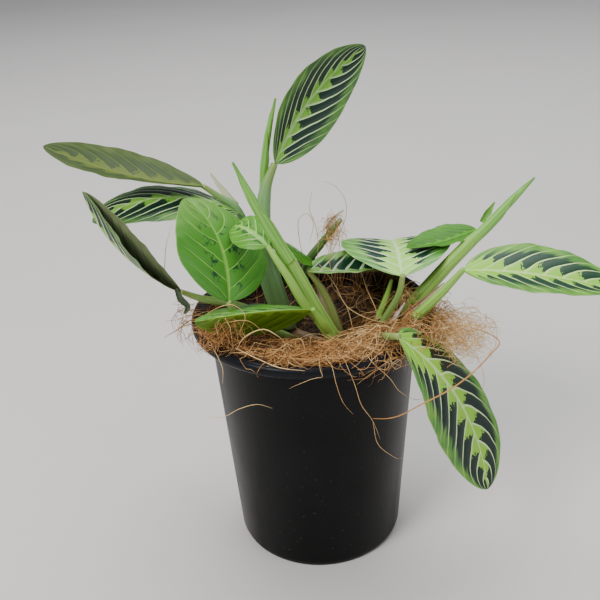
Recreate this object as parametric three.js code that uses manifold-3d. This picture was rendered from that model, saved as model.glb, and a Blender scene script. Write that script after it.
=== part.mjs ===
// A prayer plant in a one-gallon nursery pot.
// Millimetres, +Z up, the origin at the middle of the pot's base.
import * as THREE from "three";
import { mergeVertices } from "three/addons/utils/BufferGeometryUtils.js";
import Module from "manifold-3d";

const wasm = await Module();
wasm.setup();

// Pot
const potHeight = 178;
const rimRadius = 82.5;
// The lip's section, from its lower outer edge over to its inner edge:
// how far in from the rim, and how far below the pot's top.
const lipSection = [[3, 8.2], [0.6, 6.2], [0, 4.1], [1, 1.4], [3.5, 0], [7, 0.6], [11.8, 3.5]];
const lipHeight = 7.7;
const lipRootDepth = 3;
const bodyTopRadius = 70.7;
const bodyBaseRadius = 59.7;
const wallThickness = 2;
const baseFillet = 4;
const footHeight = 2.5;
const floorThickness = 2.5;
const centrePadRadius = 18;
const footInnerRadius = 51;
const drainHoleCount = 6;
const drainHoleRadius = 5;
const drainCircleRadius = 35;
const drainHoleSides = 16;
const padSlope = 2;
const potSides = 48;
const soilSides = 32;

// Potting mix and coir mulch
const soilTop = 146;
const soilDome = 3;
const soilShoulder = 40;
const soilShoulderHeight = 147.8;
const coirLowest = 3;
const coirHeap = 32;
const coirHollow = 5;
const coirReach = 74;
const coirEdgeThickness = 4;
const coirBedRadius = 2;
const coirRings = 6;
const coirSpokes = 36;
const tuftCentre = new THREE.Vector3(86, -28, 166);
const tuftSize = new THREE.Vector3(26, 26, 14);
const clearance = 0.3;

// Leaves and stems
const leafThickness = 0.8;
const leafEndHalfWidth = 1;
const leafRows = 13;
const leafColumns = [-1, -0.5, 0, 0.5, 1];
const leafWidest = 0.42;
const leafBaseFullness = 0.55;
const leafTipFullness = 0.62;
const midribSteps = 60;
const stemSides = 8;
const stemRingSpacing = 9;
const fewestStemRings = 6;
const turn = Math.PI / 180;

const green = { stem: 0x8fb85a, leaf: 0x4f9a3c, underside: 0x7d8f5c, dark: 0x2f6b35 };

// One leaf: where its blade joins the stalk, the size of the blade, and the way it points,
// where heading 0 is +X and 90 is +Y. pitch is its rise above level and bend how that changes
// towards the tip, sway its sideways curve, roll and twist its lean about the midrib,
// foldLeft and foldRight how far its halves turn up from flat, and arch their curve.
const leaves = {
  tall_leaf: {
    base: [-20, 25, 272], length: 112, width: 47, heading: 63, sway: -35, pitch: 41, bend: -17,
    roll: 55, twist: 26, foldLeft: 30, foldRight: 15, arch: -10, colour: green.dark,
  },
  broad_front_leaf: {
    base: [-52, -44, 207], length: 78, width: 70, heading: 86, sway: 60, pitch: 61, bend: -38,
    roll: 40, twist: -28, foldLeft: 0, foldRight: 0, arch: -16, colour: green.leaf,
  },
  bright_small_leaf: {
    base: [-26, -34, 238], length: 41, width: 25, heading: 140, sway: -25, pitch: 38, bend: -72,
    roll: -30, twist: 0, foldLeft: -8, foldRight: -4, arch: -14, colour: green.leaf,
  },
  folded_front_leaf: {
    base: [-1, -35, 194], length: 78, width: 46, heading: 200, sway: 8, pitch: 13, bend: -9,
    roll: -17, twist: -4, foldLeft: -96, foldRight: -32, arch: 0, colour: green.underside,
  },
  upper_left_leaf: {
    base: [-69, 26, 258], length: 107, width: 47, heading: 178, sway: -1, pitch: 6, bend: 22,
    roll: 12, twist: -24, foldLeft: 12, foldRight: 23, arch: 10, colour: green.underside,
  },
  striped_left_leaf: {
    base: [-46, 28, 238], length: 102, width: 54, heading: 188, sway: 11, pitch: 34, bend: -60,
    roll: 1, twist: -18, foldLeft: -6, foldRight: -9, arch: -12, colour: green.dark,
  },
  drooping_left_leaf: {
    base: [-84, -25, 206], length: 90, width: 41, heading: 174, sway: 2, pitch: 24, bend: 56,
    roll: -46, twist: 31, foldLeft: 68, foldRight: 80, arch: 0, colour: green.underside,
  },
  small_middle_leaf: {
    base: [-21, 8, 226], length: 36, width: 28, heading: 21, sway: 0, pitch: -38, bend: -8,
    roll: 6, twist: 2, foldLeft: -13, foldRight: -12, arch: -10, colour: green.leaf,
  },
  striped_middle_leaf: {
    base: [-3, 4, 202], length: 82, width: 43, heading: 4, sway: 3, pitch: -5, bend: 5,
    roll: 0, twist: -16, foldLeft: 24, foldRight: 18, arch: -12, colour: green.dark,
  },
  broad_back_leaf: {
    base: [58, -24, 209], length: 99, width: 74, heading: 88, sway: 3, pitch: 16, bend: -55,
    roll: 0, twist: 0, foldLeft: 4, foldRight: 4, arch: -10, colour: green.dark,
  },
  back_right_leaf: {
    base: [114, 21, 220], length: 54, width: 30, heading: 204, sway: -4, pitch: -12, bend: 18,
    roll: -3, twist: 8, foldLeft: 14, foldRight: 18, arch: -8, colour: green.leaf,
  },
  outer_right_leaf: {
    base: [95, -34, 216], length: 96, width: 53, heading: -16, sway: 5, pitch: 4, bend: -19,
    roll: 8, twist: 0, foldLeft: 13, foldRight: 10, arch: -10, colour: green.leaf,
  },
  hanging_leaf: {
    base: [50, -69, 190], length: 129, width: 66, heading: 16, sway: -65, pitch: -42, bend: -38,
    roll: 20, twist: -8, foldLeft: -7, foldRight: -7, arch: -14, colour: green.dark,
  },
};

// One stalk or rolled leaf: the points along its middle, and its radii spread evenly
// from its base to its tip.
const stems = {
  rhizome: {
    path: [[-26, 18, 150], [-14, 9, 151], [4, -8, 151], [20, -19, 150], [34, -15, 150], [48, -6, 150]],
    radii: [3, 5.5, 6, 6, 5.5, 3], colour: 0x8a6a45,
  },
  tall_stalk: {
    path: [[-17, 9, 158], [-25, 11, 190], [-30, 15, 215], [-30, 19, 238], [-27, 22, 257], [-21, 24.5, 270.5]],
    radii: [6, 6, 5.8, 5.4, 4.5, 2.2], colour: 0x9cc08a,
  },
  tall_rolled_leaf: {
    path: [[-31, 26, 244], [-27, 31, 272], [-23, 33, 292], [-18, 34, 311]],
    radii: [1.6, 2.8, 2.2, 0.7], colour: green.stem,
  },
  front_stalk: {
    path: [[18.5, -21.5, 156], [13, -23, 166], [1, -26, 190], [-9, -28, 213], [-15, -28, 227]],
    radii: [4.5, 5, 5.4, 5.3, 4.6], colour: green.stem,
    branches: [
      { path: [[4, -25, 180], [-5, -33, 196], [-15, -38, 219], [-22, -38, 232], [-25.6, -34.8, 237.6]],
        radii: [3, 3, 2.8, 2.4, 1.6] },
      { path: [[10, -24, 170], [6, -30, 180], [0, -34.5, 193]], radii: [3.2, 2.8, 1.6] },
    ],
  },
  front_rolled_leaf: {
    path: [[-15.3, -28, 228], [-22, -28, 242], [-32, -28, 263], [-44, -26, 290]],
    radii: [3.9, 3.5, 2.8, 0.7], colour: green.stem,
  },
  left_stalk: {
    path: [[-22, 22, 152], [-30, 25, 180], [-40, 28, 217], [-49, 28, 242], [-59, 27, 250], [-68, 26, 257.6]],
    radii: [4.5, 4.2, 3.8, 3.2, 2.6, 1.6], colour: green.stem,
    branches: [{ path: [[-39, 28, 212], [-43, 29, 226], [-45.6, 28.2, 237.4]], radii: [2.4, 2.2, 1.5] }],
  },
  front_leaf_stalk: {
    path: [[-8, -6, 153], [-24, -20, 170], [-41, -33, 187], [-50, -41, 199], [-51.8, -43.6, 205.8]],
    radii: [3.2, 3, 2.8, 2.4, 1.7], colour: green.stem,
  },
  drooping_leaf_stalk: {
    path: [[-24, -2, 153], [-38, -7, 178], [-56, -15, 191], [-72, -22, 199], [-83, -25, 205.6]],
    radii: [3.2, 3, 2.8, 2.6, 1.6], colour: green.stem,
  },
  middle_leaf_stalk: {
    path: [[24, -13, 154], [18, -10, 162], [13, -4, 177], [7, 1, 190], [-1, 4, 201.4]],
    radii: [3.6, 3, 2.8, 2.4, 1.5], colour: green.stem,
  },
  back_leaf_stalk: {
    path: [[41, -4, 153], [44, -9, 162], [50, -17, 179], [56, -22, 195], [58, -24, 208.3]],
    radii: [2.8, 2.6, 2.4, 2.2, 1.7], colour: green.stem,
  },
  upper_right_stalk: {
    path: [[50, -9, 155], [60, -9, 171], [72, -8, 186], [89, -4, 204], [106, 2, 219]],
    radii: [4.6, 5, 4.8, 4.5, 4.1], colour: green.stem,
  },
  right_rolled_leaf: {
    path: [[106.4, 2.2, 219.5], [116, 5, 227], [130, 9, 240], [148, 12, 258]],
    radii: [3.5, 3.3, 2.6, 0.7], colour: green.stem,
  },
  lower_right_stalk: {
    path: [[44, -17, 153], [57, -22, 168], [70, -28, 185], [82, -32, 200], [94, -34, 215.4]],
    radii: [4, 3.8, 3.4, 2.8, 1.7], colour: green.stem,
  },
  hanging_leaf_stalk: {
    path: [[37, -20, 153], [41, -37, 168], [44, -54, 182], [49.4, -68, 190]],
    radii: [3.2, 3, 2.6, 2], colour: green.stem,
  },
  young_shoot: {
    path: [[43, 4, 153], [47, 4, 168], [51, 4, 180], [54, 4, 192]],
    radii: [2.4, 2.6, 2.2, 1], colour: green.stem,
  },
  broken_stub: {
    path: [[-10, 20, 156], [-6, 22, 180], [-1, 23, 201], [8, 22, 214], [21, 18, 232]],
    radii: [3.2, 3.4, 3.2, 2.6, 1.6], colour: 0x6d8a4a,
  },
};

// Dry or papery sheaths and bracts: pointed blades that lie beside a stalk.
// flat squeezes the section to that share of its width.
const sheaths = {
  cream_sheath: {
    path: [[-48, 33, 242], [-57, 33, 254], [-64, 32, 266]],
    radii: [2.2, 2.6, 0.6], flat: 0.4, colour: 0xe9e6c8,
  },
  middle_sheath: {
    path: [[18, -4, 155], [12, 1, 168], [7, 6, 180], [3, 9, 191]],
    radii: [3.4, 3.8, 3, 0.8], flat: 0.4, colour: 0x9a7a5c,
  },
  pale_papery_sheath: {
    path: [[48, -10, 158], [51, -16, 168], [56, -22, 181], [59, -25, 190]],
    radii: [2.2, 3, 2.8, 0.8], flat: 0.35, colour: 0xd8cfc4,
  },
  pink_sheath_edge: {
    path: [[58, -18, 176], [71, -24, 191], [84, -28, 205]],
    radii: [1.4, 1.8, 0.6], flat: 0.5, colour: 0xc39a86,
  },
  stub_sheath: {
    path: [[12, 21, 226], [18, 19, 235], [24, 18, 240]],
    radii: [1.6, 2, 0.5], flat: 0.4, colour: 0xcfc4b8,
  },
  left_bract: {
    path: [[-86, -30, 211], [-84, -31, 205], [-80, -31, 199], [-83, -30, 193]],
    radii: [1.2, 2.4, 2, 0.7], flat: 0.45, colour: 0x3f4a33,
  },
  right_bract: {
    path: [[115, 13, 229], [119, 13, 236], [123, 12, 243]],
    radii: [1.6, 2.6, 0.7], flat: 0.4, colour: green.leaf,
  },
};

// A closed mesh as a manifold solid: only positions, with shared vertices merged.
function solidOf(geometry) {
  const plain = geometry.index ? geometry.toNonIndexed() : geometry.clone();
  for (const name of Object.keys(plain.attributes)) {
    if (name !== "position") plain.deleteAttribute(name);
  }
  const merged = mergeVertices(plain, 1e-4);
  return new wasm.Manifold(new wasm.Mesh({
    numProp: 3,
    vertProperties: merged.attributes.position.array,
    triVerts: new Uint32Array(merged.index.array),
  }));
}

function geometryOf(solid) {
  const mesh = solid.getMesh();
  const geometry = new THREE.BufferGeometry();
  geometry.setAttribute("position", new THREE.BufferAttribute(mesh.vertProperties, 3));
  geometry.setIndex(new THREE.BufferAttribute(mesh.triVerts, 1));
  geometry.computeVertexNormals();
  return geometry;
}

function largestBody(solid) {
  return solid.decompose().reduce((best, body) => (body.volume() > best.volume() ? body : best));
}

// Rows of points around a closed section, skinned and capped at both ends.
function skin(rows) {
  const around = rows[0].length;
  const positions = rows.flat().flatMap((p) => [p.x, p.y, p.z]);
  const faces = [];
  for (let i = 0; i + 1 < rows.length; i++) {
    for (let j = 0; j < around; j++) {
      const a = i * around + j;
      const b = i * around + ((j + 1) % around);
      faces.push(a, b, b + around, a, b + around, a + around);
    }
  }
  const last = (rows.length - 1) * around;
  for (let j = 1; j + 1 < around; j++) {
    faces.push(0, j + 1, j, last, last + j, last + j + 1);
  }
  const geometry = new THREE.BufferGeometry();
  geometry.setAttribute("position", new THREE.Float32BufferAttribute(positions, 3));
  geometry.setIndex(faces);
  return geometry;
}

// Half the blade's width at a share of its length: an oblong leaf, fullest a little before its middle.
function halfWidth(leaf, share) {
  const before = share < leafWidest;
  const rise = before ? share / leafWidest : (1 - share) / (1 - leafWidest);
  const full = Math.sin((rise * Math.PI) / 2) ** (before ? leafBaseFullness : leafTipFullness);
  return Math.max((leaf.width / 2) * full, leafEndHalfWidth);
}

// The blade's own axes at a share of its length: along the midrib, to its right, and up out of its face.
function bladeAxes(leaf, share) {
  const heading = (leaf.heading + leaf.sway * share) * turn;
  const rise = (leaf.pitch + leaf.bend * share) * turn;
  const roll = (leaf.roll + leaf.twist * share) * turn;
  const along = new THREE.Vector3(
    Math.cos(rise) * Math.cos(heading), Math.cos(rise) * Math.sin(heading), Math.sin(rise));
  const level = new THREE.Vector3(Math.sin(heading), -Math.cos(heading), 0);
  const upright = level.clone().cross(along);
  const right = level.clone().multiplyScalar(Math.cos(roll)).addScaledVector(upright, -Math.sin(roll));
  const face = upright.multiplyScalar(Math.cos(roll)).addScaledVector(level, Math.sin(roll));
  return { along, right, face };
}

function midribPoint(leaf, share) {
  const point = new THREE.Vector3(...leaf.base);
  for (let i = 0; i < midribSteps; i++) {
    const middle = ((i + 0.5) / midribSteps) * share;
    point.addScaledVector(bladeAxes(leaf, middle).along, (leaf.length * share) / midribSteps);
  }
  return point;
}

// A leaf blade: rows across the midrib, each half turned up by its fold and arched towards its margin,
// given a thickness by moving the rows out along the blade's face on both sides.
function leafBlade(leaf, grow = 0) {
  const thickness = leafThickness / 2 + grow;
  const rows = [];
  for (let i = 0; i < leafRows; i++) {
    const share = 0.5 - 0.5 * Math.cos((Math.PI * i) / (leafRows - 1));
    const { along, right, face } = bladeAxes(leaf, share);
    const centre = midribPoint(leaf, share);
    if (i === 0) centre.addScaledVector(along, -grow);
    if (i === leafRows - 1) centre.addScaledVector(along, grow);
    const half = halfWidth(leaf, share) + grow;
    const upper = [];
    const lower = [];
    for (const place of leafColumns) {
      const side = Math.sign(place) || 1;
      const fold = (side < 0 ? leaf.foldLeft : leaf.foldRight) * turn;
      const reach = Math.abs(place) * half;
      const arch = leaf.arch * turn * (reach / (leaf.width / 2));
      const startAngle = fold - (leaf.arch * turn) / 2;
      const angle = startAngle + arch / 2;
      const point = centre.clone()
        .addScaledVector(right, side * Math.cos(angle) * reach)
        .addScaledVector(face, Math.sin(angle) * reach);
      const lean = place === 0 ? 0 : side * (startAngle + arch);
      const normal = face.clone().multiplyScalar(Math.cos(lean)).addScaledVector(right, -Math.sin(lean));
      upper.push(point.clone().addScaledVector(normal, thickness));
      lower.push(point.clone().addScaledVector(normal, -thickness));
    }
    rows.push([...upper, ...lower.reverse()]);
  }
  return skin(rows);
}

// A tapering tube along a smooth path: rings of the given radii, squeezed to a flat section where asked.
function taperedTube({ path, radii, flat = 1 }, grow = 0) {
  const curve = new THREE.CatmullRomCurve3(path.map((p) => new THREE.Vector3(...p)), false, "centripetal");
  const steps = Math.max(fewestStemRings, Math.round(curve.getLength() / stemRingSpacing));
  const frames = curve.computeFrenetFrames(steps, false);
  const rows = [];
  for (let i = 0; i <= steps; i++) {
    const share = i / steps;
    const between = share * (radii.length - 1);
    const from = Math.min(Math.floor(between), radii.length - 2);
    const radius = THREE.MathUtils.lerp(radii[from], radii[from + 1], between - from) + grow;
    const centre = curve.getPointAt(share);
    if (i === 0) centre.addScaledVector(frames.tangents[0], -grow);
    if (i === steps) centre.addScaledVector(frames.tangents[steps], grow);
    const squeezed = radius * flat + grow * (1 - flat);
    rows.push(Array.from({ length: stemSides }, (_, j) => {
      const angle = (j / stemSides) * 2 * Math.PI;
      return centre.clone()
        .addScaledVector(frames.normals[i], Math.cos(angle) * radius)
        .addScaledVector(frames.binormals[i], Math.sin(angle) * squeezed);
    }));
  }
  return skin(rows);
}

function stalk(stem, grow = 0) {
  let solid = solidOf(taperedTube(stem, grow));
  for (const branch of stem.branches ?? []) solid = solid.add(solidOf(taperedTube(branch, grow)));
  return solid;
}

function lathe(profile, sides = potSides) {
  const points = profile.map(([r, z]) => new THREE.Vector2(r, z));
  return new THREE.LatheGeometry(points, sides).rotateX(Math.PI / 2);
}

// The pot's outer wall at a height: a straight taper from the base to under the lip.
function wallRadius(z) {
  return THREE.MathUtils.mapLinear(z, 0, potHeight - lipHeight, bodyBaseRadius, bodyTopRadius);
}

// A nursery pot: a tapered body with a broad rolled lip, a foot ring, a centre pad and drain holes.
function nurseryPot(grow = 0) {
  const lipUnder = potHeight - lipHeight;
  const inside = (z) => wallRadius(z) - wallThickness - grow;
  const floorTop = footHeight + floorThickness;
  const lip = lipSection.map(([inset, depth]) => [
    rimRadius - inset + (inset > rimRadius - bodyTopRadius - 1 ? -grow : grow),
    potHeight - depth + (depth > lipHeight ? -grow : grow),
  ]);
  const profile = [
    [0, 0], [centrePadRadius, 0], [centrePadRadius + padSlope, footHeight],
    [footInnerRadius, footHeight], [footInnerRadius + padSlope, 0],
    [bodyBaseRadius - baseFillet, 0], [bodyBaseRadius - baseFillet / 4, baseFillet / 4],
    [wallRadius(baseFillet) + grow, baseFillet], [bodyTopRadius + grow, lipUnder - grow], ...lip,
    [inside(lipUnder - lipRootDepth), lipUnder - lipRootDepth], [inside(floorTop), floorTop], [0, floorTop],
  ];
  let solid = solidOf(lathe(profile));
  for (let i = 0; i < drainHoleCount; i++) {
    const angle = (i / drainHoleCount) * 2 * Math.PI;
    const hole = new THREE.CylinderGeometry(
      drainHoleRadius, drainHoleRadius, 3 * floorTop, drainHoleSides)
      .rotateX(Math.PI / 2)
      .translate(drainCircleRadius * Math.cos(angle), drainCircleRadius * Math.sin(angle), 0);
    solid = solid.subtract(solidOf(hole));
  }
  return solid;
}

// The potting mix fills the pot and rises a little in the middle.
function pottingSoil() {
  const bottom = footHeight + floorThickness + clearance;
  const inside = (z) => wallRadius(z) - wallThickness - clearance;
  const profile = [
    [0, bottom], [inside(bottom), bottom], [inside(soilTop), soilTop],
    [soilShoulder, soilShoulderHeight], [0, soilTop + soilDome],
  ];
  return solidOf(lathe(profile, soilSides));
}

// How far a direction faces the front, from 0 at the back to 1 a little right of the front.
function frontShare(angle) {
  return 0.5 - 0.5 * Math.sin(angle - 0.15);
}

// The top of the mulch round the pot's axis: heaped on the rim at the front, low at the back.
function coirTop(radius, angle) {
  const out = radius / rimRadius;
  const front = frontShare(angle);
  const heap = coirHeap * out ** 1.6 * (0.5 + 0.5 * front);
  const hollow = coirHollow * Math.exp(-(((out - 0.35) / 0.3) ** 2)) * (1 - front);
  const lumps = 0.7 * Math.sin(5 * angle + 9 * out) + 0.5 * Math.sin(11 * angle - 6 * out);
  return soilTop + soilDome + coirLowest + heap - hollow + lumps * out;
}

// The mulch over the soil: inside the wall at the back and sides, and out over the lip at the front.
function coirMulch() {
  const wallInside = wallRadius(soilTop) - wallThickness - 3 * clearance;
  const edge = (angle) => THREE.MathUtils.lerp(
    wallInside, coirReach, THREE.MathUtils.smoothstep(frontShare(angle), 0.75, 0.92));
  const ring = (reach, height) => Array.from({ length: coirSpokes }, (_, j) => {
    const angle = (j / coirSpokes) * 2 * Math.PI;
    const radius = reach(angle);
    return new THREE.Vector3(radius * Math.cos(angle), radius * Math.sin(angle), height(radius, angle));
  });
  const bed = [
    ring(() => coirBedRadius, () => soilTop + soilDome + clearance),
    ring(() => soilShoulder, () => soilShoulderHeight + clearance),
    ring(() => wallInside, () => soilTop + clearance),
    ring(edge, (radius, angle) => coirTop(radius, angle) - coirEdgeThickness),
  ];
  const top = Array.from({ length: coirRings }, (_, i) => (
    ring((angle) => (edge(angle) * (coirRings - i)) / coirRings, coirTop)));
  return solidOf(skin([...bed, ...top]));
}

// A tuft of loose mulch that hangs over the rim on the right.
function coirTuft() {
  const tuft = new THREE.IcosahedronGeometry(1, 2);
  const position = tuft.attributes.position;
  for (let i = 0; i < position.count; i++) {
    const p = new THREE.Vector3().fromBufferAttribute(position, i).normalize();
    const lump = 1 + 0.08 * Math.sin(7 * p.x + 5 * p.y) + 0.06 * Math.sin(9 * p.z - 4 * p.x);
    position.setXYZ(
      i,
      tuftCentre.x + tuftSize.x * lump * p.x,
      tuftCentre.y + tuftSize.y * lump * p.y,
      tuftCentre.z + tuftSize.z * lump * p.z);
  }
  return solidOf(tuft);
}

const group = new THREE.Group();

// Each piece is cut back from those placed before it, so that neighbours keep a small gap.
const placed = [];
function place(name, solid, grown, { colour, roughness = 0.6 }) {
  let cut = solid;
  for (const other of placed) {
    if (cut.intersect(other).volume() > 0) cut = cut.subtract(other);
  }
  cut = largestBody(cut);
  placed.push(grown);
  const material = new THREE.MeshStandardMaterial({ color: colour, roughness, metalness: 0 });
  const mesh = new THREE.Mesh(geometryOf(cut), material);
  mesh.name = name;
  group.add(mesh);
}

place("nursery_pot", nurseryPot(), nurseryPot(clearance), { colour: 0x17181b, roughness: 0.45 });
for (const [name, stem] of Object.entries(stems)) {
  place(name, stalk(stem), stalk(stem, clearance), stem);
}
for (const [name, leaf] of Object.entries(leaves)) {
  place(name, solidOf(leafBlade(leaf)), solidOf(leafBlade(leaf, clearance)), leaf);
}
for (const [name, sheath] of Object.entries(sheaths)) {
  place(name, stalk(sheath), stalk(sheath, clearance), { ...sheath, roughness: 0.85 });
}
const soil = pottingSoil();
place("potting_soil", soil, soil, { colour: 0x2b1d14, roughness: 1 });
const mulch = coirMulch();
place("coir_mulch", mulch, mulch, { colour: 0xb07a42, roughness: 1 });
const tuft = coirTuft();
place("coir_tuft", tuft, tuft, { colour: 0xc08a50, roughness: 1 });

export default group;
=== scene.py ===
import bpy
import numpy as np
from mathutils import Matrix, Vector


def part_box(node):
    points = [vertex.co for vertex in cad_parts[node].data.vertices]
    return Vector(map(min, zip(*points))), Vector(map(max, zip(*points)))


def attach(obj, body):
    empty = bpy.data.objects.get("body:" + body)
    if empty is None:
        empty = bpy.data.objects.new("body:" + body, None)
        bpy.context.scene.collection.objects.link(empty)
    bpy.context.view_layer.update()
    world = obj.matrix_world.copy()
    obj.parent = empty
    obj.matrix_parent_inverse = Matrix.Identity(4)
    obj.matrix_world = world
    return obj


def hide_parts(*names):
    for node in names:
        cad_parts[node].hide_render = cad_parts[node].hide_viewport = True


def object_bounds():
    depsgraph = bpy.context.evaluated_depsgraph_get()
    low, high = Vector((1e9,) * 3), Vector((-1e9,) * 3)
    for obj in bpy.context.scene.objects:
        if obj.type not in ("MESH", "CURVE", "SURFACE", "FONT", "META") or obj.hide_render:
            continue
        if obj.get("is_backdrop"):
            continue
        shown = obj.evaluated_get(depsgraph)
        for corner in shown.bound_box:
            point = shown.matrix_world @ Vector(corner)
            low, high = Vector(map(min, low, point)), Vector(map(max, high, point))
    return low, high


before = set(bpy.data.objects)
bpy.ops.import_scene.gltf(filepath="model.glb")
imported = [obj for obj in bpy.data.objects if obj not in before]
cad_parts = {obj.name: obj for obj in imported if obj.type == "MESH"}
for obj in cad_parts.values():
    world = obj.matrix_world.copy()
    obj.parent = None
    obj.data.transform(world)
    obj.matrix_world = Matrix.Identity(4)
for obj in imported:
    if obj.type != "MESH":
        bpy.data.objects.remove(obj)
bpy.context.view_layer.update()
mm = 0.001
random = np.random.default_rng(11)


# the corners of a grid's quads; wrap joins its last column to its first
def gridFaces(rows, columns, wrap=False, start=0, flip=False):
    i, j = np.meshgrid(np.arange(rows - 1), np.arange(columns if wrap else columns - 1), indexing="ij")
    k = (j + 1) % columns
    quads = np.stack([i * columns + j, i * columns + k, (i + 1) * columns + k, (i + 1) * columns + j], -1)
    quads = quads.reshape(-1, 4) + start
    return quads[:, ::-1] if flip else quads


# a strip of quads between two rows of vertices with the same count
def stripFaces(rowA, rowB):
    return np.stack([rowA[:-1], rowA[1:], rowB[1:], rowB[:-1]], -1)


# a mesh object from whole arrays, in millimetres until here; a quad with a repeated corner is a triangle
def makePiece(name, points, quads, materials, replaced=(), slotIndex=None, uv=None, values=None):
    mesh = bpy.data.meshes.new(name)
    isTriangle = (quads[:, 2] == quads[:, 3]) if len(quads) else np.zeros(0, bool)
    quads = np.concatenate([quads[~isTriangle], quads[isTriangle]])
    full = len(quads) - isTriangle.sum()
    corners = np.concatenate([quads[:full].reshape(-1), quads[full:, :3].reshape(-1)])
    starts = np.concatenate([np.arange(full) * 4, full * 4 + np.arange(len(quads) - full) * 3])
    mesh.vertices.add(len(points))
    mesh.vertices.foreach_set("co", (np.asarray(points) * mm).astype(np.float32).reshape(-1))
    mesh.loops.add(len(corners))
    mesh.loops.foreach_set("vertex_index", corners.astype(np.int32))
    mesh.polygons.add(len(quads))
    mesh.polygons.foreach_set("loop_start", starts.astype(np.int32))
    mesh.update(calc_edges=True)
    mesh.polygons.foreach_set("use_smooth", np.ones(len(quads), bool))
    if slotIndex is not None:
        order = np.concatenate([np.asarray(slotIndex)[~isTriangle], np.asarray(slotIndex)[isTriangle]])
        mesh.polygons.foreach_set("material_index", order.astype(np.int32))
    if uv is not None:
        mesh.uv_layers.new(name="UVMap").data.foreach_set("uv", uv[corners].astype(np.float32).reshape(-1))
    for key, array in (values or {}).items():
        vector = array.ndim == 2
        kind = "FLOAT_VECTOR" if vector else "FLOAT"
        layer = mesh.attributes.new(key, kind, "POINT").data
        layer.foreach_set("vector" if vector else "value", array.astype(np.float32).reshape(-1))
    for material in materials:
        mesh.materials.append(material)
    piece = bpy.data.objects.new(name, mesh)
    bpy.context.scene.collection.objects.link(piece)
    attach(piece, "root")
    for node in replaced:
        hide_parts(node)
    return piece


# vectors divided by their lengths
def unit(v):
    return v / np.maximum(np.linalg.norm(v, axis=-1, keepdims=True), 1e-9)


# points at a radius, an angle and a height: (r cos a, r sin a, z)
def polar(r, a, z):
    return np.stack([r * np.cos(a), r * np.sin(a), z + 0 * (r * a)], -1)


# the lowest and highest corners of a node's box, in millimetres
def nodeBox(node):
    return [np.array(corner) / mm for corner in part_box(node)]


# a shape moved so that its box lies on its node's, on each axis from the side that agrees best
def fitToNode(points, node):
    low, high = nodeBox(node)
    atLow, atHigh = low - points.min(0), high - points.max(0)
    return points + np.where(np.abs(atLow) < np.abs(atHigh), atLow, atHigh)


# 3 t^2 - 2 t^3, where t is the share of the way from start to end
def smoothStep(x, start, end):
    t = np.clip((x - start) / (end - start), 0, 1)
    return t * t * (3 - 2 * t)


latticeValues = np.random.default_rng(3).random((64, 64))


# smooth lumps from 0 to 1: a repeating lattice of random heights, blended between its corners
def lumps(x, y):
    i, j = np.floor(x).astype(int), np.floor(y).astype(int)
    u, v = x - i, y - j
    u, v = u * u * (3 - 2 * u), v * v * (3 - 2 * v)
    pick = lambda a, b: latticeValues[(i + a) % 64, (j + b) % 64]
    low = pick(0, 0) * (1 - u) + pick(1, 0) * u
    high = pick(0, 1) * (1 - u) + pick(1, 1) * u
    return low * (1 - v) + high * v


# shader nodes, added with their links and values in one call
class Nodes:
    def __init__(self, tree):
        self.tree = tree

    def put(self, socket, value):
        if isinstance(value, bpy.types.NodeSocket):
            self.tree.links.new(value, socket)
        elif isinstance(value, tuple) and socket.type == "RGBA":
            socket.default_value = (*value, 1)
        else:
            socket.default_value = value

    def add(self, kind, inputs=(), **settings):
        node = self.tree.nodes.new("ShaderNode" + kind)
        for key, value in settings.items():
            setattr(node, key, value)
        for key, value in dict(inputs).items():
            self.put(node.inputs[key], value)
        return node

    def math(self, operation, a, b=0.0, c=0.0):
        return self.add("Math", {0: a, 1: b, 2: c}, operation=operation).outputs[0]

    def plus(self, a, b):
        return self.math("ADD", a, b)

    def minus(self, a, b):
        return self.math("SUBTRACT", a, b)

    def times(self, a, b):
        return self.math("MULTIPLY", a, b)

    # value * scale + shift
    def line(self, value, scale, shift):
        return self.math("MULTIPLY_ADD", value, scale, shift)

    # low before start, high after end, smooth between
    def ramp(self, value, start, end, low=0.0, high=1.0):
        inputs = {0: value, 1: start, 2: end, 3: low, 4: high}
        return self.add("MapRange", inputs, interpolation_type="SMOOTHSTEP").outputs[0]

    def mix(self, share, a, b):
        return self.add("Mix", {0: share, 6: a, 7: b}, data_type="RGBA").outputs[2]

    def noise(self, vector, scale, detail=3.0, rough=0.5):
        inputs = {"Vector": vector, "Scale": scale, "Detail": detail, "Roughness": rough}
        return self.add("TexNoise", inputs).outputs[0]

    def scaled(self, vector, x, y, z):
        return self.add("Mapping", {"Vector": vector, "Scale": Vector((x, y, z))}).outputs[0]

    def split(self, vector):
        return self.add("SeparateXYZ", {0: vector}).outputs

    def objectPlace(self):
        return self.add("TexCoord").outputs["Object"]

    def uvPlace(self):
        return self.add("UVMap", uv_map="UVMap").outputs[0]

    def value(self, name):
        return self.add("Attribute", attribute_name=name)

    # a surface's colour and roughness, with relief from a height, its strength and its depth in metres
    def finish(self, skin, color, rough, height, strength, depth, shine=None):
        self.put(skin["Base Color"], color)
        self.put(skin["Roughness"], rough)
        relief = self.add("Bump", {"Height": height, "Strength": strength, "Distance": depth})
        self.put(skin["Normal"], relief.outputs[0])
        if shine is not None:
            skin["Specular IOR Level"].default_value = shine


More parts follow.
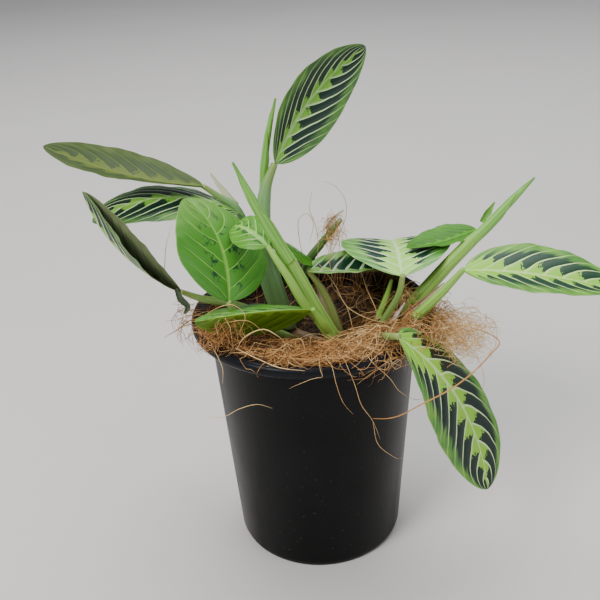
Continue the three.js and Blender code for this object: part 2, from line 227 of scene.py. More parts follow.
# a node group with inputs that start at these values, none for a vector, and the sockets to build it with
def newGroup(name, inputs, outputs):
    tree = bpy.data.node_groups.new(name, "ShaderNodeTree")
    for key, value in inputs.items():
        kind = "Vector" if value is None else "Color" if isinstance(value, tuple) else "Float"
        socket = tree.interface.new_socket(key, in_out="INPUT", socket_type="NodeSocket" + kind)
        if value is not None:
            socket.default_value = (*value, 1) if kind == "Color" else value
    for key, kind in outputs.items():
        tree.interface.new_socket(key, in_out="OUTPUT", socket_type="NodeSocket" + kind)
    return Nodes(tree), tree.nodes.new("NodeGroupInput").outputs, tree.nodes.new("NodeGroupOutput").inputs


# a material with its shown colour, the nodes to build it with and its surface's inputs
def newMaterial(name, viewport):
    material = bpy.data.materials.new(name)
    material.use_nodes = True
    material.diffuse_color = (*viewport, 1)
    return material, Nodes(material.node_tree), material.node_tree.nodes["Principled BSDF"].inputs


# The leaves. A blade's midrib turns evenly in heading, rise and roll, and each half is turned up
# by its fold and arched towards its margin. Lengths are in millimetres and angles in degrees.
leafLook = dict(
    thickness=0.45, widest=0.42, baseFullness=0.55, tipFullness=0.62, baseHalfWidth=1.0, tipHalfWidth=0.2,
    rows=141, columns=73, veinCurve=1.35, rightShift=0.45, quilt=0.5, wave=0.5, edgeThinning=0.7,
    midribRidge=0.7, ridgeReach=0.8, groove=-0.35, grooveReach=0.9)
leaves = dict(
    tall_leaf=dict(length=112, width=47, heading=63, sway=-35, pitch=41, bend=-17, roll=55, twist=26,
        fold=(30, 15), arch=-10, look="striped", veins=8.2, bow=0.46),
    broad_front_leaf=dict(length=78, width=70, heading=86, sway=60, pitch=61, bend=-38, roll=40, twist=-28,
        fold=(0, 0), arch=-16, look="spotted", veins=6.2, bow=0.36),
    bright_small_leaf=dict(length=41, width=25, heading=140, sway=-25, pitch=38, bend=-72, roll=-30,
        twist=0, fold=(-8, -4), arch=-14, look="bright", veins=5.5, bow=0.4),
    folded_front_leaf=dict(length=78, width=46, heading=200, sway=8, pitch=13, bend=-9, roll=-17, twist=-4,
        fold=(-96, -32), arch=0, look="bright", veins=6, bow=0.4, turned="left"),
    upper_left_leaf=dict(length=107, width=47, heading=178, sway=-1, pitch=6, bend=22, roll=12, twist=-24,
        fold=(12, 23), arch=10, look="striped", veins=8, bow=0.36, turned="both"),
    striped_left_leaf=dict(length=102, width=54, heading=188, sway=11, pitch=34, bend=-60, roll=1,
        twist=-18, fold=(-6, -9), arch=-12, look="striped", veins=7.5, bow=0.5),
    drooping_left_leaf=dict(length=90, width=41, heading=174, sway=2, pitch=24, bend=56, roll=-46, twist=31,
        fold=(68, 80), arch=0, look="striped", veins=8, bow=0.36, turned="both"),
    small_middle_leaf=dict(length=36, width=28, heading=21, sway=0, pitch=-38, bend=-8, roll=6, twist=2,
        fold=(-13, -12), arch=-10, look="vivid", veins=6, bow=0.35),
    striped_middle_leaf=dict(length=82, width=43, heading=4, sway=3, pitch=-5, bend=5, roll=0, twist=-16,
        fold=(24, 18), arch=-12, look="banded", veins=9, bow=0.2),
    broad_back_leaf=dict(length=99, width=74, heading=88, sway=3, pitch=16, bend=-55, roll=0, twist=0,
        fold=(4, 4), arch=-10, look="pale", veins=10, bow=0.22),
    back_right_leaf=dict(length=54, width=30, heading=204, sway=-4, pitch=-12, bend=18, roll=-3, twist=8,
        fold=(14, 18), arch=-8, look="vivid", veins=7, bow=0.4),
    outer_right_leaf=dict(length=96, width=53, heading=-16, sway=5, pitch=4, bend=-19, roll=8, twist=0,
        fold=(13, 10), arch=-10, look="yellow", veins=8, bow=0.34),
    hanging_leaf=dict(length=129, width=66, heading=16, sway=-65, pitch=-42, bend=-38, roll=20, twist=-8,
        fold=(-7, -7), arch=-14, look="lime", veins=9.6, bow=0.3),
)


# unit vectors along the midrib, to its right and out of its face, at shares s of its length
def bladeAxes(leaf, s):
    heading = np.radians(leaf["heading"] + leaf["sway"] * s)
    rise = np.radians(leaf["pitch"] + leaf["bend"] * s)
    roll = np.radians(leaf["roll"] + leaf["twist"] * s)[..., None]
    along = np.stack([np.cos(rise) * np.cos(heading), np.cos(rise) * np.sin(heading), np.sin(rise)], -1)
    level = np.stack([np.sin(heading), -np.cos(heading), np.zeros_like(s)], -1)
    upright = np.cross(level, along)
    return along, level * np.cos(roll) - upright * np.sin(roll), upright * np.cos(roll) + level * np.sin(roll)


# half the blade's width: its full half width times a sine hump that is fullest at the share "widest"
def halfWidth(leaf, s):
    look, widest = leafLook, leafLook["widest"]
    rise = np.where(s < widest, s / widest, (1 - s) / (1 - widest))
    power = np.where(s < widest, look["baseFullness"], look["tipFullness"])
    full = np.sin(np.clip(rise, 0, 1) * np.pi / 2) ** power
    least = np.where(s < widest, look["baseHalfWidth"], look["tipHalfWidth"])
    return np.maximum(leaf["width"] / 2 * full, least)


# how many lateral veins have been passed: veins * (s - bow * |t| ^ curve), with a shift on the right
def veinPhase(leaf, s, t):
    swept = s - leaf["bow"] * np.abs(t) ** leafLook["veinCurve"]
    return leaf["veins"] * swept + np.where(t > 0, leafLook["rightShift"], 0)


# both faces of a blade on a grid of shares s along and t across, from -1 on the left to 1 on the right:
# the lamina swells between its veins, sinks along its midrib, and its margin waves
def bladeFaces(leaf, s, t):
    look = leafLook
    fine = np.linspace(0, 1, 400)
    middles = (fine[1:] + fine[:-1]) / 2
    run = np.cumsum(bladeAxes(leaf, middles)[0] * leaf["length"] / len(middles), 0)
    run = np.concatenate([np.zeros((1, 3)), run])
    centre = np.stack([np.interp(s, fine, run[:, axis]) for axis in range(3)], -1)
    _, right, face = bladeAxes(leaf, s)
    reach = np.abs(t) * halfWidth(leaf, s)
    side = np.where(t < 0, -1.0, 1.0)
    fold = np.radians(np.where(t < 0, leaf["fold"][0], leaf["fold"][1]))
    arch = np.radians(leaf["arch"])
    archAt = arch * reach / (leaf["width"] / 2)
    startAngle = fold - arch / 2
    angle = startAngle + archAt / 2
    place = (centre + right * (side * np.cos(angle) * reach)[..., None]
             + face * (np.sin(angle) * reach)[..., None])
    lean = (side * (startAngle + archAt) * smoothStep(reach, 0, 1.5))[..., None]
    normal = face * np.cos(lean) - right * np.sin(lean)
    swell = np.abs(np.sin(np.pi * veinPhase(leaf, s, t))) ** 0.7 - 0.5
    swell = look["quilt"] * swell * smoothStep(np.abs(t), 0.02, 0.25) * (1 - smoothStep(np.abs(t), 0.7, 1))
    swell = swell * np.sin(np.pi * s) ** 0.5
    groove = look["groove"] * np.exp(-(reach / look["grooveReach"]) ** 2) * (1 - s)
    edge = look["wave"] * np.abs(t) ** 4 * np.sin(np.pi * s) * (
        np.sin(leaf["veins"] * 2.9 * s + side * 1.3) + 0.4 * np.sin(leaf["veins"] * 6.7 * s + side))
    thick = look["thickness"] / 2 * (1 - look["edgeThinning"] * np.abs(t) ** 8)
    ridge = look["midribRidge"] * np.exp(-(reach / look["ridgeReach"]) ** 2) * (1 - s) ** 0.7
    middle = place + (swell + edge)[..., None] * normal
    return middle + normal * (thick + groove)[..., None], middle - normal * (thick + ridge)[..., None]


# the quads of a closed shell of two grids, the upper first, joined round their edges
def shellFaces(rows, columns):
    top = np.arange(rows * columns).reshape(rows, columns)
    under = top + rows * columns
    sides = [
        stripFaces(under[:, 0], top[:, 0])[:, ::-1], stripFaces(top[:, -1], under[:, -1])[:, ::-1],
        stripFaces(under[0], top[0]), stripFaces(top[-1], under[-1])]
    upper = gridFaces(rows, columns)
    lower = gridFaces(rows, columns, start=rows * columns, flip=True)
    return upper, lower, np.concatenate(sides)


# shares s along and t across, from -1 to 1, on a grid
def shareGrid(rows, columns):
    return np.meshgrid(np.linspace(0, 1, rows), np.linspace(-1, 1, columns), indexing="ij")


# the points of a shell's two grids as one list, laid on its node's box, and their UV places
def shellPoints(upper, lower, s, t, node):
    place = np.stack([s, t / 2 + 0.5], -1).reshape(-1, 2)
    points = np.concatenate([upper.reshape(-1, 3), lower.reshape(-1, 3)])
    return fitToNode(points, node), np.concatenate([place, place])


# a blade as one closed shell: its two faces, its edges, and which of its two skins each quad has
def makeLeaf(node, leaf, materials):
    rows, columns = leafLook["rows"], leafLook["columns"]
    s, t = shareGrid(rows, columns)
    points, uv = shellPoints(*bladeFaces(leaf, s, t), s, t, node)
    top, under, edges = shellFaces(rows, columns)
    # the face that shows may have the underside's skin, on both halves or on the left one only
    onLeft = np.tile(np.arange(columns - 1) < columns // 2, rows - 1)
    both = leaf.get("turned") == "both"
    shown = onLeft | both if "turned" in leaf else onLeft & False
    index = np.concatenate([shown, ~shown if both else np.ones(len(under)), np.ones(len(edges))])
    quads = np.concatenate([top, under, edges])
    makePiece("blade_" + node, points, quads, materials, [node], index, uv)


# The pattern of a blade, worked out from its UV map: u runs along the midrib and v from the left margin
# to the right one. Phase counts the lateral veins, as veinPhase does for the shape.
def leafPatternGroup():
    nodes, given, out = newGroup("leafPattern", dict(
        place=None, veins=8.0, bow=0.35, length=100.0, width=50.0, limeWidth=0.12, blockEnd=0.6,
        blockGaps=0.0, blockStrength=1.0, veinWidth=0.06, veinReach=0.9, baseLime=0.1, tipLight=0.0,
        outer=(0.06, 0.2, 0.03), dark=(0.01, 0.03, 0.02), lime=(0.3, 0.6, 0.1), vein=(0.65, 0.85, 0.5),
    ), dict(color="Color", veins="Float", blocks="Float"))
    math, plus, minus, times, line = nodes.math, nodes.plus, nodes.minus, nodes.times, nodes.line
    ramp, mix, noise = nodes.ramp, nodes.mix, nodes.noise
    s, v, _ = nodes.split(given["place"])
    across = line(v, 2.0, -1.0)
    t = math("ABSOLUTE", across)
    rightSide = math("GREATER_THAN", across, 0.0)
    skin = {0: times(s, given["length"]), 1: times(across, given["width"])}
    skin = nodes.add("CombineXYZ", skin).outputs[0]
    wander = line(noise(skin, 0.06, 2), 0.3, -0.15)
    swept = minus(s, times(math("POWER", t, leafLook["veinCurve"]), given["bow"]))
    phase = line(rightSide, leafLook["rightShift"], line(swept, given["veins"], wander))
    share = math("FRACT", phase)
    fromVein = math("PINGPONG", phase, 0.5)
    strip = nodes.add("CombineXYZ", {0: times(phase, 5.0), 1: times(t, 2.2), 2: rightSide}).outputs[0]
    streaks = noise(strip, 1.0, 3)
    ragged = noise(skin, 0.42, 3, 0.65)
    # the lime band's edge: a tooth beside each vein, with a ragged end
    tooth = times(math("POWER", minus(1.0, share), 1.3), 1.25)
    limeEdge = plus(plus(tooth, 0.3), line(ragged, 1.6, -0.8))
    limeEdge = times(limeEdge, times(given["limeWidth"], ramp(s, 0.75, 1.0, 1.0, 0.35)))
    limeEdge = plus(limeEdge, times(given["baseLime"], ramp(s, 0.03, 0.3, 1.0, 0.0)))
    pastLime = minus(t, limeEdge)
    lime = ramp(pastLime, -0.006, 0.012, 1.0, 0.0)
    # the dark block lies beyond the lime and fades out in streaks
    blockEnd = plus(given["blockEnd"], line(streaks, 0.5, -0.25))
    block = times(ramp(pastLime, 0.0, 0.02), ramp(minus(t, blockEnd), -0.09, 0.07, 1.0, 0.0))
    gaps = ramp(minus(noise(skin, 0.16, 3, 0.6), given["blockGaps"]), 0.0, 0.05)
    block = times(block, times(gaps, given["blockStrength"]))
    block = times(block, ramp(s, 0.0, 0.1))
    # lateral veins narrow and fade towards the margin
    pastVein = minus(fromVein, times(given["veinWidth"], ramp(t, 0.1, 0.9, 1.0, 0.55)))
    vein = ramp(pastVein, -0.02, 0.03, 1.0, 0.0)
    vein = times(vein, ramp(minus(t, given["veinReach"]), -0.35, 0.1, 1.0, 0.12))
    halo = ramp(pastVein, 0.0, 0.1, 0.3, 0.0)
    fine = times(ramp(math("PINGPONG", times(phase, 5.0), 0.5), 0.0, 0.16, 1.0, 0.0), 0.16)
    midribWidth = ramp(s, 0.0, 1.0, 1.8, 0.4)
    midrib = ramp(minus(times(t, given["width"]), midribWidth), -0.4, 0.5, 1.0, 0.0)
    outer = mix(times(ramp(noise(skin, 0.05, 2), 0.35, 0.7), 0.45), given["outer"], given["lime"])
    outer = mix(times(ramp(streaks, 0.4, 0.7), 0.22), outer, given["dark"])
    outer = mix(fine, outer, given["vein"])
    color = mix(times(halo, ramp(t, 0.4, 0.8)), outer, given["lime"])
    color = mix(block, color, given["dark"])
    color = mix(lime, color, given["lime"])
    color = mix(times(vein, ramp(pastLime, -0.05, 0.01, 0.45, 1.0)), color, given["vein"])
    color = mix(times(midrib, 0.5), color, given["vein"])
    color = mix(times(ramp(t, 0.975, 1.0), 0.5), color, given["vein"])
    color = mix(times(ramp(s, 0.45, 1.0), given["tipLight"]), color, given["vein"])
    nodes.put(out["color"], color)
    nodes.put(out["veins"], math("MAXIMUM", vein, midrib))
    nodes.put(out["blocks"], block)
    return nodes.tree


leafPattern = leafPatternGroup()

# colours and widths of each kind of blade, and what differs on the underside
bladeLooks = dict(
    striped=dict(limeWidth=0.2, blockEnd=0.74, veinWidth=0.085, outer=(0.028, 0.1, 0.022),
        dark=(0.008, 0.03, 0.016), lime=(0.2, 0.48, 0.045), vein=(0.62, 0.84, 0.4)),
    banded=dict(limeWidth=0.09, blockEnd=0.64, veinWidth=0.1, outer=(0.2, 0.5, 0.07),
        dark=(0.012, 0.06, 0.028), lime=(0.26, 0.56, 0.08), vein=(0.76, 0.92, 0.62), baseLime=0.3),
    lime=dict(limeWidth=0.25, blockEnd=0.76, veinWidth=0.065, outer=(0.06, 0.23, 0.025),
        dark=(0.003, 0.02, 0.011), lime=(0.28, 0.6, 0.04), vein=(0.72, 0.92, 0.48), baseLime=0.5),
    pale=dict(limeWidth=0.24, blockEnd=0.68, veinWidth=0.09, outer=(0.09, 0.34, 0.04),
        dark=(0.008, 0.04, 0.022), lime=(0.38, 0.74, 0.13), vein=(0.8, 0.96, 0.6), baseLime=0.4),
    yellow=dict(limeWidth=0.26, blockEnd=0.72, veinWidth=0.07, outer=(0.06, 0.24, 0.02),
        dark=(0.008, 0.05, 0.02), lime=(0.28, 0.62, 0.045), vein=(0.68, 0.9, 0.36), baseLime=0.55),
    bright=dict(limeWidth=0.1, blockEnd=0.36, veinWidth=0.05, outer=(0.075, 0.29, 0.016),
        dark=(0.015, 0.08, 0.016), lime=(0.15, 0.44, 0.03), vein=(0.46, 0.76, 0.22), blockGaps=0.5,
        blockStrength=0.7),
    spotted=dict(limeWidth=0.3, blockEnd=0.43, veinWidth=0.028, veinReach=0.85, outer=(0.06, 0.25, 0.02),
        dark=(0.008, 0.055, 0.02), lime=(0.065, 0.26, 0.02), vein=(0.32, 0.62, 0.1), blockGaps=0.5,
        blockStrength=0.92, tipLight=0.35),
    vivid=dict(limeWidth=0.1, blockEnd=0.5, veinWidth=0.04, outer=(0.055, 0.24, 0.006),
        dark=(0.025, 0.12, 0.006), lime=(0.09, 0.33, 0.012), vein=(0.14, 0.4, 0.02), blockStrength=0.5),
)
underside = dict(outer=(0.15, 0.22, 0.07), dark=(0.07, 0.11, 0.04), lime=(0.24, 0.32, 0.08),
    vein=(0.28, 0.36, 0.14), blockStrength=0.8, veinWidth=0.03, tipLight=0.0)
undersides = dict(
    # upper_left_leaf's underside faces down: its colours, darker than the usual underside, are painted shade
    upper_left_leaf=dict(outer=(0.05, 0.09, 0.01), dark=(0.022, 0.05, 0.01), lime=(0.11, 0.16, 0.015),
        vein=(0.15, 0.2, 0.03), limeWidth=0.24, blockStrength=0.6),
    drooping_left_leaf=dict(outer=(0.15, 0.19, 0.09), dark=(0.08, 0.11, 0.055), lime=(0.18, 0.23, 0.09),
        vein=(0.24, 0.28, 0.13)),
    back_right_leaf=dict(outer=(0.08, 0.3, 0.01), dark=(0.04, 0.18, 0.008), lime=(0.12, 0.4, 0.02),
        vein=(0.18, 0.45, 0.04)),
    folded_front_leaf=dict(outer=(0.13, 0.27, 0.012), dark=(0.055, 0.13, 0.006), lime=(0.2, 0.36, 0.02),
        vein=(0.28, 0.42, 0.05), blockEnd=0.8, blockGaps=0.3, blockStrength=0.6),
)


# one face of a blade: the pattern, a satin skin with a fine grain, and veins that stand out of it
def bladeMaterial(name, leaf, look, rough, ribs):
    material, nodes, skin = newMaterial(name, look["outer"])
    pattern = nodes.add("Group", node_tree=leafPattern)
    size = {key: float(leaf[key]) for key in ("veins", "bow", "length")}
    size["width"] = leaf["width"] / 2
    for key, value in {**size, **look, "place": nodes.uvPlace()}.items():
        nodes.put(pattern.inputs[key], value)
    grain = nodes.noise(nodes.objectPlace(), 1600.0, 2)
    rough = nodes.ramp(grain, 0.3, 0.7, rough - 0.05, rough + 0.07)
    rough = nodes.line(pattern.outputs["blocks"], -0.04, rough)
    height = nodes.line(pattern.outputs["veins"], ribs, nodes.times(grain, 0.15))
    nodes.finish(skin, pattern.outputs["color"], rough, height, 0.35, 0.0004, shine=0.32)
    return material


# every blade, with an upper and an under skin of its own
def makeLeaves():
    for node, leaf in leaves.items():
        look = bladeLooks[leaf["look"]]
        below = {**look, **underside, **undersides.get(node, {})}
        materials = [bladeMaterial("upperSkin_" + node, leaf, look, 0.42, -0.5),
                     bladeMaterial("underSkin_" + node, leaf, below, 0.55, 0.8)]
        makeLeaf(node, leaf, materials)
    print("leaves made")


# a smooth path through given points: each span is a cubic whose knots are spaced by the root
# of the distance, and the result is respaced evenly along its length
def smoothPath(points, count):
    p = np.array(points, float)
    p = np.concatenate([[2 * p[0] - p[1]], p, [2 * p[-1] - p[-2]]])
    knots = np.concatenate([[0], np.cumsum(np.linalg.norm(np.diff(p, axis=0), axis=1) ** 0.5)])
    u = np.linspace(knots[1], knots[-2], 600)
    k = np.clip(np.searchsorted(knots, u, side="right") - 1, 1, len(p) - 3)
    between = lambda a, b, pa, pb: (
        ((knots[k + b] - u) / (knots[k + b] - knots[k + a]))[:, None] * pa
        + ((u - knots[k + a]) / (knots[k + b] - knots[k + a]))[:, None] * pb)
    a1 = between(-1, 0, p[k - 1], p[k])
    a2 = between(0, 1, p[k], p[k + 1])
    a3 = between(1, 2, p[k + 1], p[k + 2])
    line = between(0, 1, between(-1, 1, a1, a2), between(0, 2, a2, a3))
    run = np.concatenate([[0], np.cumsum(np.linalg.norm(np.diff(line, axis=0), axis=1))])
    even = np.linspace(0, run[-1], count)
    return np.stack([np.interp(even, run, line[:, axis]) for axis in range(3)], -1)


# axes across a path: first square to the path and to the world axis that it leans on least
def pathAxes(path):
    along = unit(np.gradient(path, axis=0))
    world = np.eye(3)[np.argmin(np.abs(along).max(0))]
    first = unit(np.cross(along, world))
    return along, first, np.cross(along, first)


# a tube: ring points at centre + first * cos(a) * r + second * sin(a) * r, where r is the radius read off
# at the share along, times 1 + ribs * cos(ribCount * a) + roll * (the turn since its seam)
def tubeSurface(path, radii, rings=60, around=28, ribs=0.0, ribCount=9, roll=0.0, turns=1.2):
    line = smoothPath(path, rings)
    _, first, second = pathAxes(line)
    s = np.linspace(0, 1, rings)[:, None]
    a = (np.arange(around) / around * 2 * np.pi)[None, :]
    radius = np.interp(s, np.linspace(0, 1, len(radii)), radii)
    sinceSeam = (a / (2 * np.pi) + turns * s) % 1.0
    rolled = roll * smoothStep(s, 0.04, 0.35) * (sinceSeam - 0.5)
    radius = radius * (1 + ribs * np.cos(ribCount * a + 2 * s) + rolled)
    points = (line[:, None] + first[:, None] * (np.cos(a) * radius)[..., None]
              + second[:, None] * (np.sin(a) * radius)[..., None])
    skin = np.stack([np.cos(a) + 0 * s, np.sin(a) + 0 * s, s * len(radii) + 0 * a], -1)
    return points.reshape(-1, 3), skin.reshape(-1, 3), np.broadcast_to(s, (rings, around)).reshape(-1)


# the quads of a closed tube, with a fan of triangles to a middle point at each end
def tubeFaces(rings, around, start=0):
    sides = gridFaces(rings, around, wrap=True, start=start)
    ring = np.arange(around)
    foot, tip = start + rings * around, start + rings * around + 1
    last = start + (rings - 1) * around + ring
    lower = np.stack([np.full(around, foot), start + np.roll(ring, -1), start + ring, start + ring], -1)
    upper = np.stack([np.full(around, tip), last, np.roll(last, -1), np.roll(last, -1)], -1)
    return np.concatenate([sides, lower, upper])


# one or more tubes as one closed mesh's arrays: each reaches a little past its tip, and starts a little
# before its foot if it is sunk in another piece
def joinTubes(tubes, rings, around, reach=1.3, **shape):
    points, quads, skins, shares = [], [], [], []
    start = 0
    for tube in tubes:
        path = np.array(tube["path"], float)
        path[-1] += unit(path[-1] - path[-2]) * reach
        path[0] -= unit(path[1] - path[0]) * tube.get("sunk", 0)
        p, skin, s = tubeSurface(path, tube["radii"], rings, around, **shape)
        ends = np.stack([p[:around].mean(0), p[-around:].mean(0)])
        quads.append(tubeFaces(rings, around, start))
        points += [p, ends]
        skins += [skin, np.array([[0, 0, 0], [0, 0, skin[-1, 2]]])]
        shares += [s, np.array([0.0, 1.0])]
        start += len(p) + 2
    return np.concatenate(points), np.concatenate(quads), np.concatenate(skins), np.concatenate(shares)


# Stalks: the points along each one's middle and its radii from base to tip, with how its skin looks.
stalkLook = dict(rings=70, around=28, ribs=0.012, ribCount=7)
stalks = dict(
    tall_stalk=dict(look="blueGreen",
        path=[[-17, 9, 158], [-25, 11, 190], [-30, 15, 215], [-30, 19, 238], [-27, 22, 257],
            [-21, 24.5, 270.5]],
        radii=[6, 6, 5.8, 5.4, 4.5, 2.2]),
    front_stalk=dict(look="lime", tubes=[
        dict(path=[[18.5, -21.5, 156], [13, -23, 166], [1, -26, 190], [-9, -28, 213], [-15, -28, 227]],
            radii=[4.5, 5, 5.4, 5.3, 4.6]),
        dict(path=[[4, -25, 180], [-5, -33, 196], [-15, -38, 219], [-22, -38, 232], [-25.6, -34.8, 237.6]],
            radii=[3, 3, 2.8, 2.4, 1.6]),
        dict(path=[[10, -24, 170], [6, -30, 180], [0, -34.5, 193]], radii=[3.2, 2.8, 1.6])]),
    left_stalk=dict(look="blueGreen", tubes=[
        dict(path=[[-22, 22, 152], [-30, 25, 180], [-40, 28, 217], [-49, 28, 242], [-59, 27, 250],
            [-68, 26, 257.6]], radii=[4.5, 4.2, 3.8, 3.2, 2.6, 1.6]),
        dict(path=[[-39, 28, 212], [-43, 29, 226], [-45.6, 28.2, 237.4]], radii=[2.4, 2.2, 1.5])]),
    front_leaf_stalk=dict(look="petiole",
        path=[[-8, -6, 153], [-24, -20, 170], [-41, -33, 187], [-50, -41, 199], [-51.8, -43.6, 205.8]],
        radii=[3.2, 3, 2.8, 2.4, 1.7]),
    drooping_leaf_stalk=dict(look="petiole",
        path=[[-24, -2, 153], [-38, -7, 178], [-56, -15, 191], [-72, -22, 199], [-83, -25, 205.6]],
        radii=[3.2, 3, 2.8, 2.6, 1.6]),
    middle_leaf_stalk=dict(look="yellow",
        path=[[24, -13, 154], [18, -10, 162], [13, -4, 177], [7, 1, 190], [-1, 4, 201.4]],
        radii=[3.6, 3, 2.8, 2.4, 1.5]),
    back_leaf_stalk=dict(look="petiole",
        path=[[41, -4, 153], [44, -9, 162], [50, -17, 179], [56, -22, 195], [58, -24, 208.3]],
        radii=[2.8, 2.6, 2.4, 2.2, 1.7]),
    upper_right_stalk=dict(look="lime",
        path=[[50, -9, 155], [60, -9, 171], [72, -8, 186], [89, -4, 204], [106, 2, 219]],
        radii=[4.6, 5, 4.8, 4.5, 4.1]),
    lower_right_stalk=dict(look="lime",
        path=[[44, -17, 153], [57, -22, 168], [70, -28, 185], [82, -32, 200], [94, -34, 215.4]],
        radii=[4, 3.8, 3.4, 2.8, 1.7]),
    hanging_leaf_stalk=dict(look="petiole",
        path=[[37, -20, 153], [41, -37, 168], [44, -54, 182], [49.4, -68, 190]], radii=[3.2, 3, 2.6, 2]),
    young_shoot=dict(look="lime",
        path=[[43, 4, 153], [47, 4, 168], [51, 4, 180], [54, 4, 192]], radii=[2.4, 2.6, 2.2, 1]),
    broken_stub=dict(look="old",
        path=[[-10, 20, 156], [-6, 22, 180], [-1, 23, 201], [8, 22, 214], [21, 18, 232]],
        radii=[3.2, 3.4, 3.2, 2.6, 1.6]),
    rhizome=dict(look="root",
        path=[[-26, 18, 150], [-14, 9, 151], [4, -8, 151], [20, -19, 150], [34, -15, 150], [48, -6, 150]],
        radii=[3, 5.5, 6, 6, 5.5, 3]),
    tall_rolled_leaf=dict(look="rolled", roll=0.3,
        path=[[-31, 26, 244], [-27, 31, 272], [-23, 33, 292], [-18, 34, 311]], radii=[1.6, 2.8, 2.2, 0.7]),
    front_rolled_leaf=dict(look="rolled", roll=0.3, sunk=2,
        path=[[-15.3, -28, 228], [-22, -28, 242], [-32, -28, 263], [-44, -26, 290]],
        radii=[4.6, 3.7, 2.8, 0.7]),
    right_rolled_leaf=dict(look="rolled", roll=0.3, sunk=2,
        path=[[106.4, 2.2, 219.5], [116, 5, 227], [130, 9, 240], [148, 12, 258]],
        radii=[4.1, 3.4, 2.6, 0.7]),
)
# skin colours from the foot to the tip, and the stripe that runs along them
stalkSkins = dict(
    blueGreen=dict(foot=(0.15, 0.22, 0.07), middle=(0.22, 0.42, 0.15), tip=(0.26, 0.36, 0.08),
        stripe=(0.11, 0.29, 0.09)),
    lime=dict(foot=(0.36, 0.44, 0.14), middle=(0.33, 0.6, 0.1), tip=(0.3, 0.55, 0.09),
        stripe=(0.12, 0.36, 0.03)),
    petiole=dict(foot=(0.3, 0.3, 0.12), middle=(0.26, 0.42, 0.11), tip=(0.34, 0.42, 0.12),
        stripe=(0.13, 0.28, 0.05)),
    yellow=dict(foot=(0.3, 0.2, 0.1), middle=(0.36, 0.42, 0.1), tip=(0.6, 0.6, 0.2),
        stripe=(0.2, 0.3, 0.06)),
    old=dict(foot=(0.12, 0.16, 0.05), middle=(0.13, 0.24, 0.07), tip=(0.3, 0.34, 0.16),
        stripe=(0.07, 0.13, 0.03), slot="old_stem"),
    root=dict(foot=(0.2, 0.12, 0.06), middle=(0.3, 0.2, 0.1), tip=(0.26, 0.17, 0.08),
        stripe=(0.1, 0.06, 0.03), slot="brown_root"),
    rolled=dict(foot=(0.26, 0.56, 0.09), middle=(0.24, 0.54, 0.09), tip=(0.14, 0.38, 0.05),
        stripe=(0.08, 0.3, 0.03)),
)


# a stalk's skin: stripes along it, a foot and a tip of their own colours, and fine ribs
def stalkMaterial(name, look):
    material, nodes, skin = newMaterial(name, look["middle"])
    around = nodes.value("skinPlace").outputs["Vector"]
    share = nodes.value("share").outputs["Fac"]
    stripes = nodes.noise(nodes.scaled(around, 3.2, 3.2, 0.16), 1.0, 3, 0.6)
    color = nodes.mix(nodes.ramp(share, 0.0, 0.35), look["foot"], look["middle"])
    color = nodes.mix(nodes.ramp(share, 0.8, 1.0), color, look["tip"])
    color = nodes.mix(nodes.ramp(stripes, 0.46, 0.64, 0.0, 0.6), color, look["stripe"])
    flecks = nodes.noise(nodes.objectPlace(), 900.0, 3)
    color = nodes.mix(nodes.ramp(flecks, 0.6, 0.75, 0.0, 0.25), color, look["foot"])
    height = nodes.line(stripes, 0.7, nodes.times(flecks, 0.2))
    nodes.finish(skin, color, nodes.ramp(flecks, 0.3, 0.7, 0.38, 0.52), height, 0.4, 0.0005)
    return material


# every stalk as ribbed tubes, laid on its node's box, with its kind's skin
def makeStalks():
    skins = {key: stalkMaterial("skin_" + key, look) for key, look in stalkSkins.items()}
    for node, stalk in stalks.items():
        tubes = stalk.get("tubes", [stalk])
        points, quads, around, share = joinTubes(tubes, roll=stalk.get("roll", 0.0), **stalkLook)
        makePiece(
            "skin_" + node, fitToNode(points, node), quads, [skins[stalk["look"]]],
            [node],
            values={"skinPlace": around, "share": share})
    print("stalks made")


# Dry sheaths and bracts: thin cupped strips beside the stalks.
sheathLook = dict(thickness=0.24, rows=40, columns=13, ragged=0.5)
sheaths = dict(
    cream_sheath=dict(path=[[-48, 33, 242], [-57, 33, 254], [-64, 32, 266]], widths=[2.4, 2.8, 0.4],
        cup=1.2, colors=((0.74, 0.76, 0.5), (0.9, 0.86, 0.68))),
    middle_sheath=dict(path=[[18, -4, 155], [12, 1, 168], [7, 6, 180], [3, 9, 191]],
        widths=[4.6, 5.4, 4, 0.5], cup=1.2, colors=((0.2, 0.11, 0.07), (0.56, 0.4, 0.3))),
    pale_papery_sheath=dict(path=[[48, -10, 158], [51, -16, 168], [56, -22, 181], [59, -25, 190]],
        widths=[2.4, 3.4, 3, 0.5], cup=1.3, colors=((0.5, 0.4, 0.32), (0.86, 0.8, 0.76))),
    pink_sheath_edge=dict(path=[[58, -18, 176], [71, -24, 191], [84, -28, 205]], widths=[1.4, 1.9, 0.4],
        cup=1.3, colors=((0.5, 0.26, 0.2), (0.72, 0.5, 0.4))),
    stub_sheath=dict(path=[[12, 21, 226], [18, 19, 235], [24, 18, 240]], widths=[1.8, 2.2, 0.3], cup=1.2,
        colors=((0.5, 0.42, 0.34), (0.84, 0.78, 0.7))),
    left_bract=dict(path=[[-86, -30, 211], [-84, -31, 205], [-80, -31, 199], [-83, -30, 193]],
        widths=[1.3, 2.6, 2.2, 0.6], cup=1.0, colors=((0.03, 0.05, 0.025), (0.08, 0.12, 0.05)),
        slot="dark_bract"),
    right_bract=dict(path=[[115, 13, 229], [119, 13, 236], [123, 12, 243]], widths=[1.8, 2.8, 0.4], cup=1.0,
        colors=((0.14, 0.4, 0.05), (0.3, 0.6, 0.12)), slot="green_stem"),
)


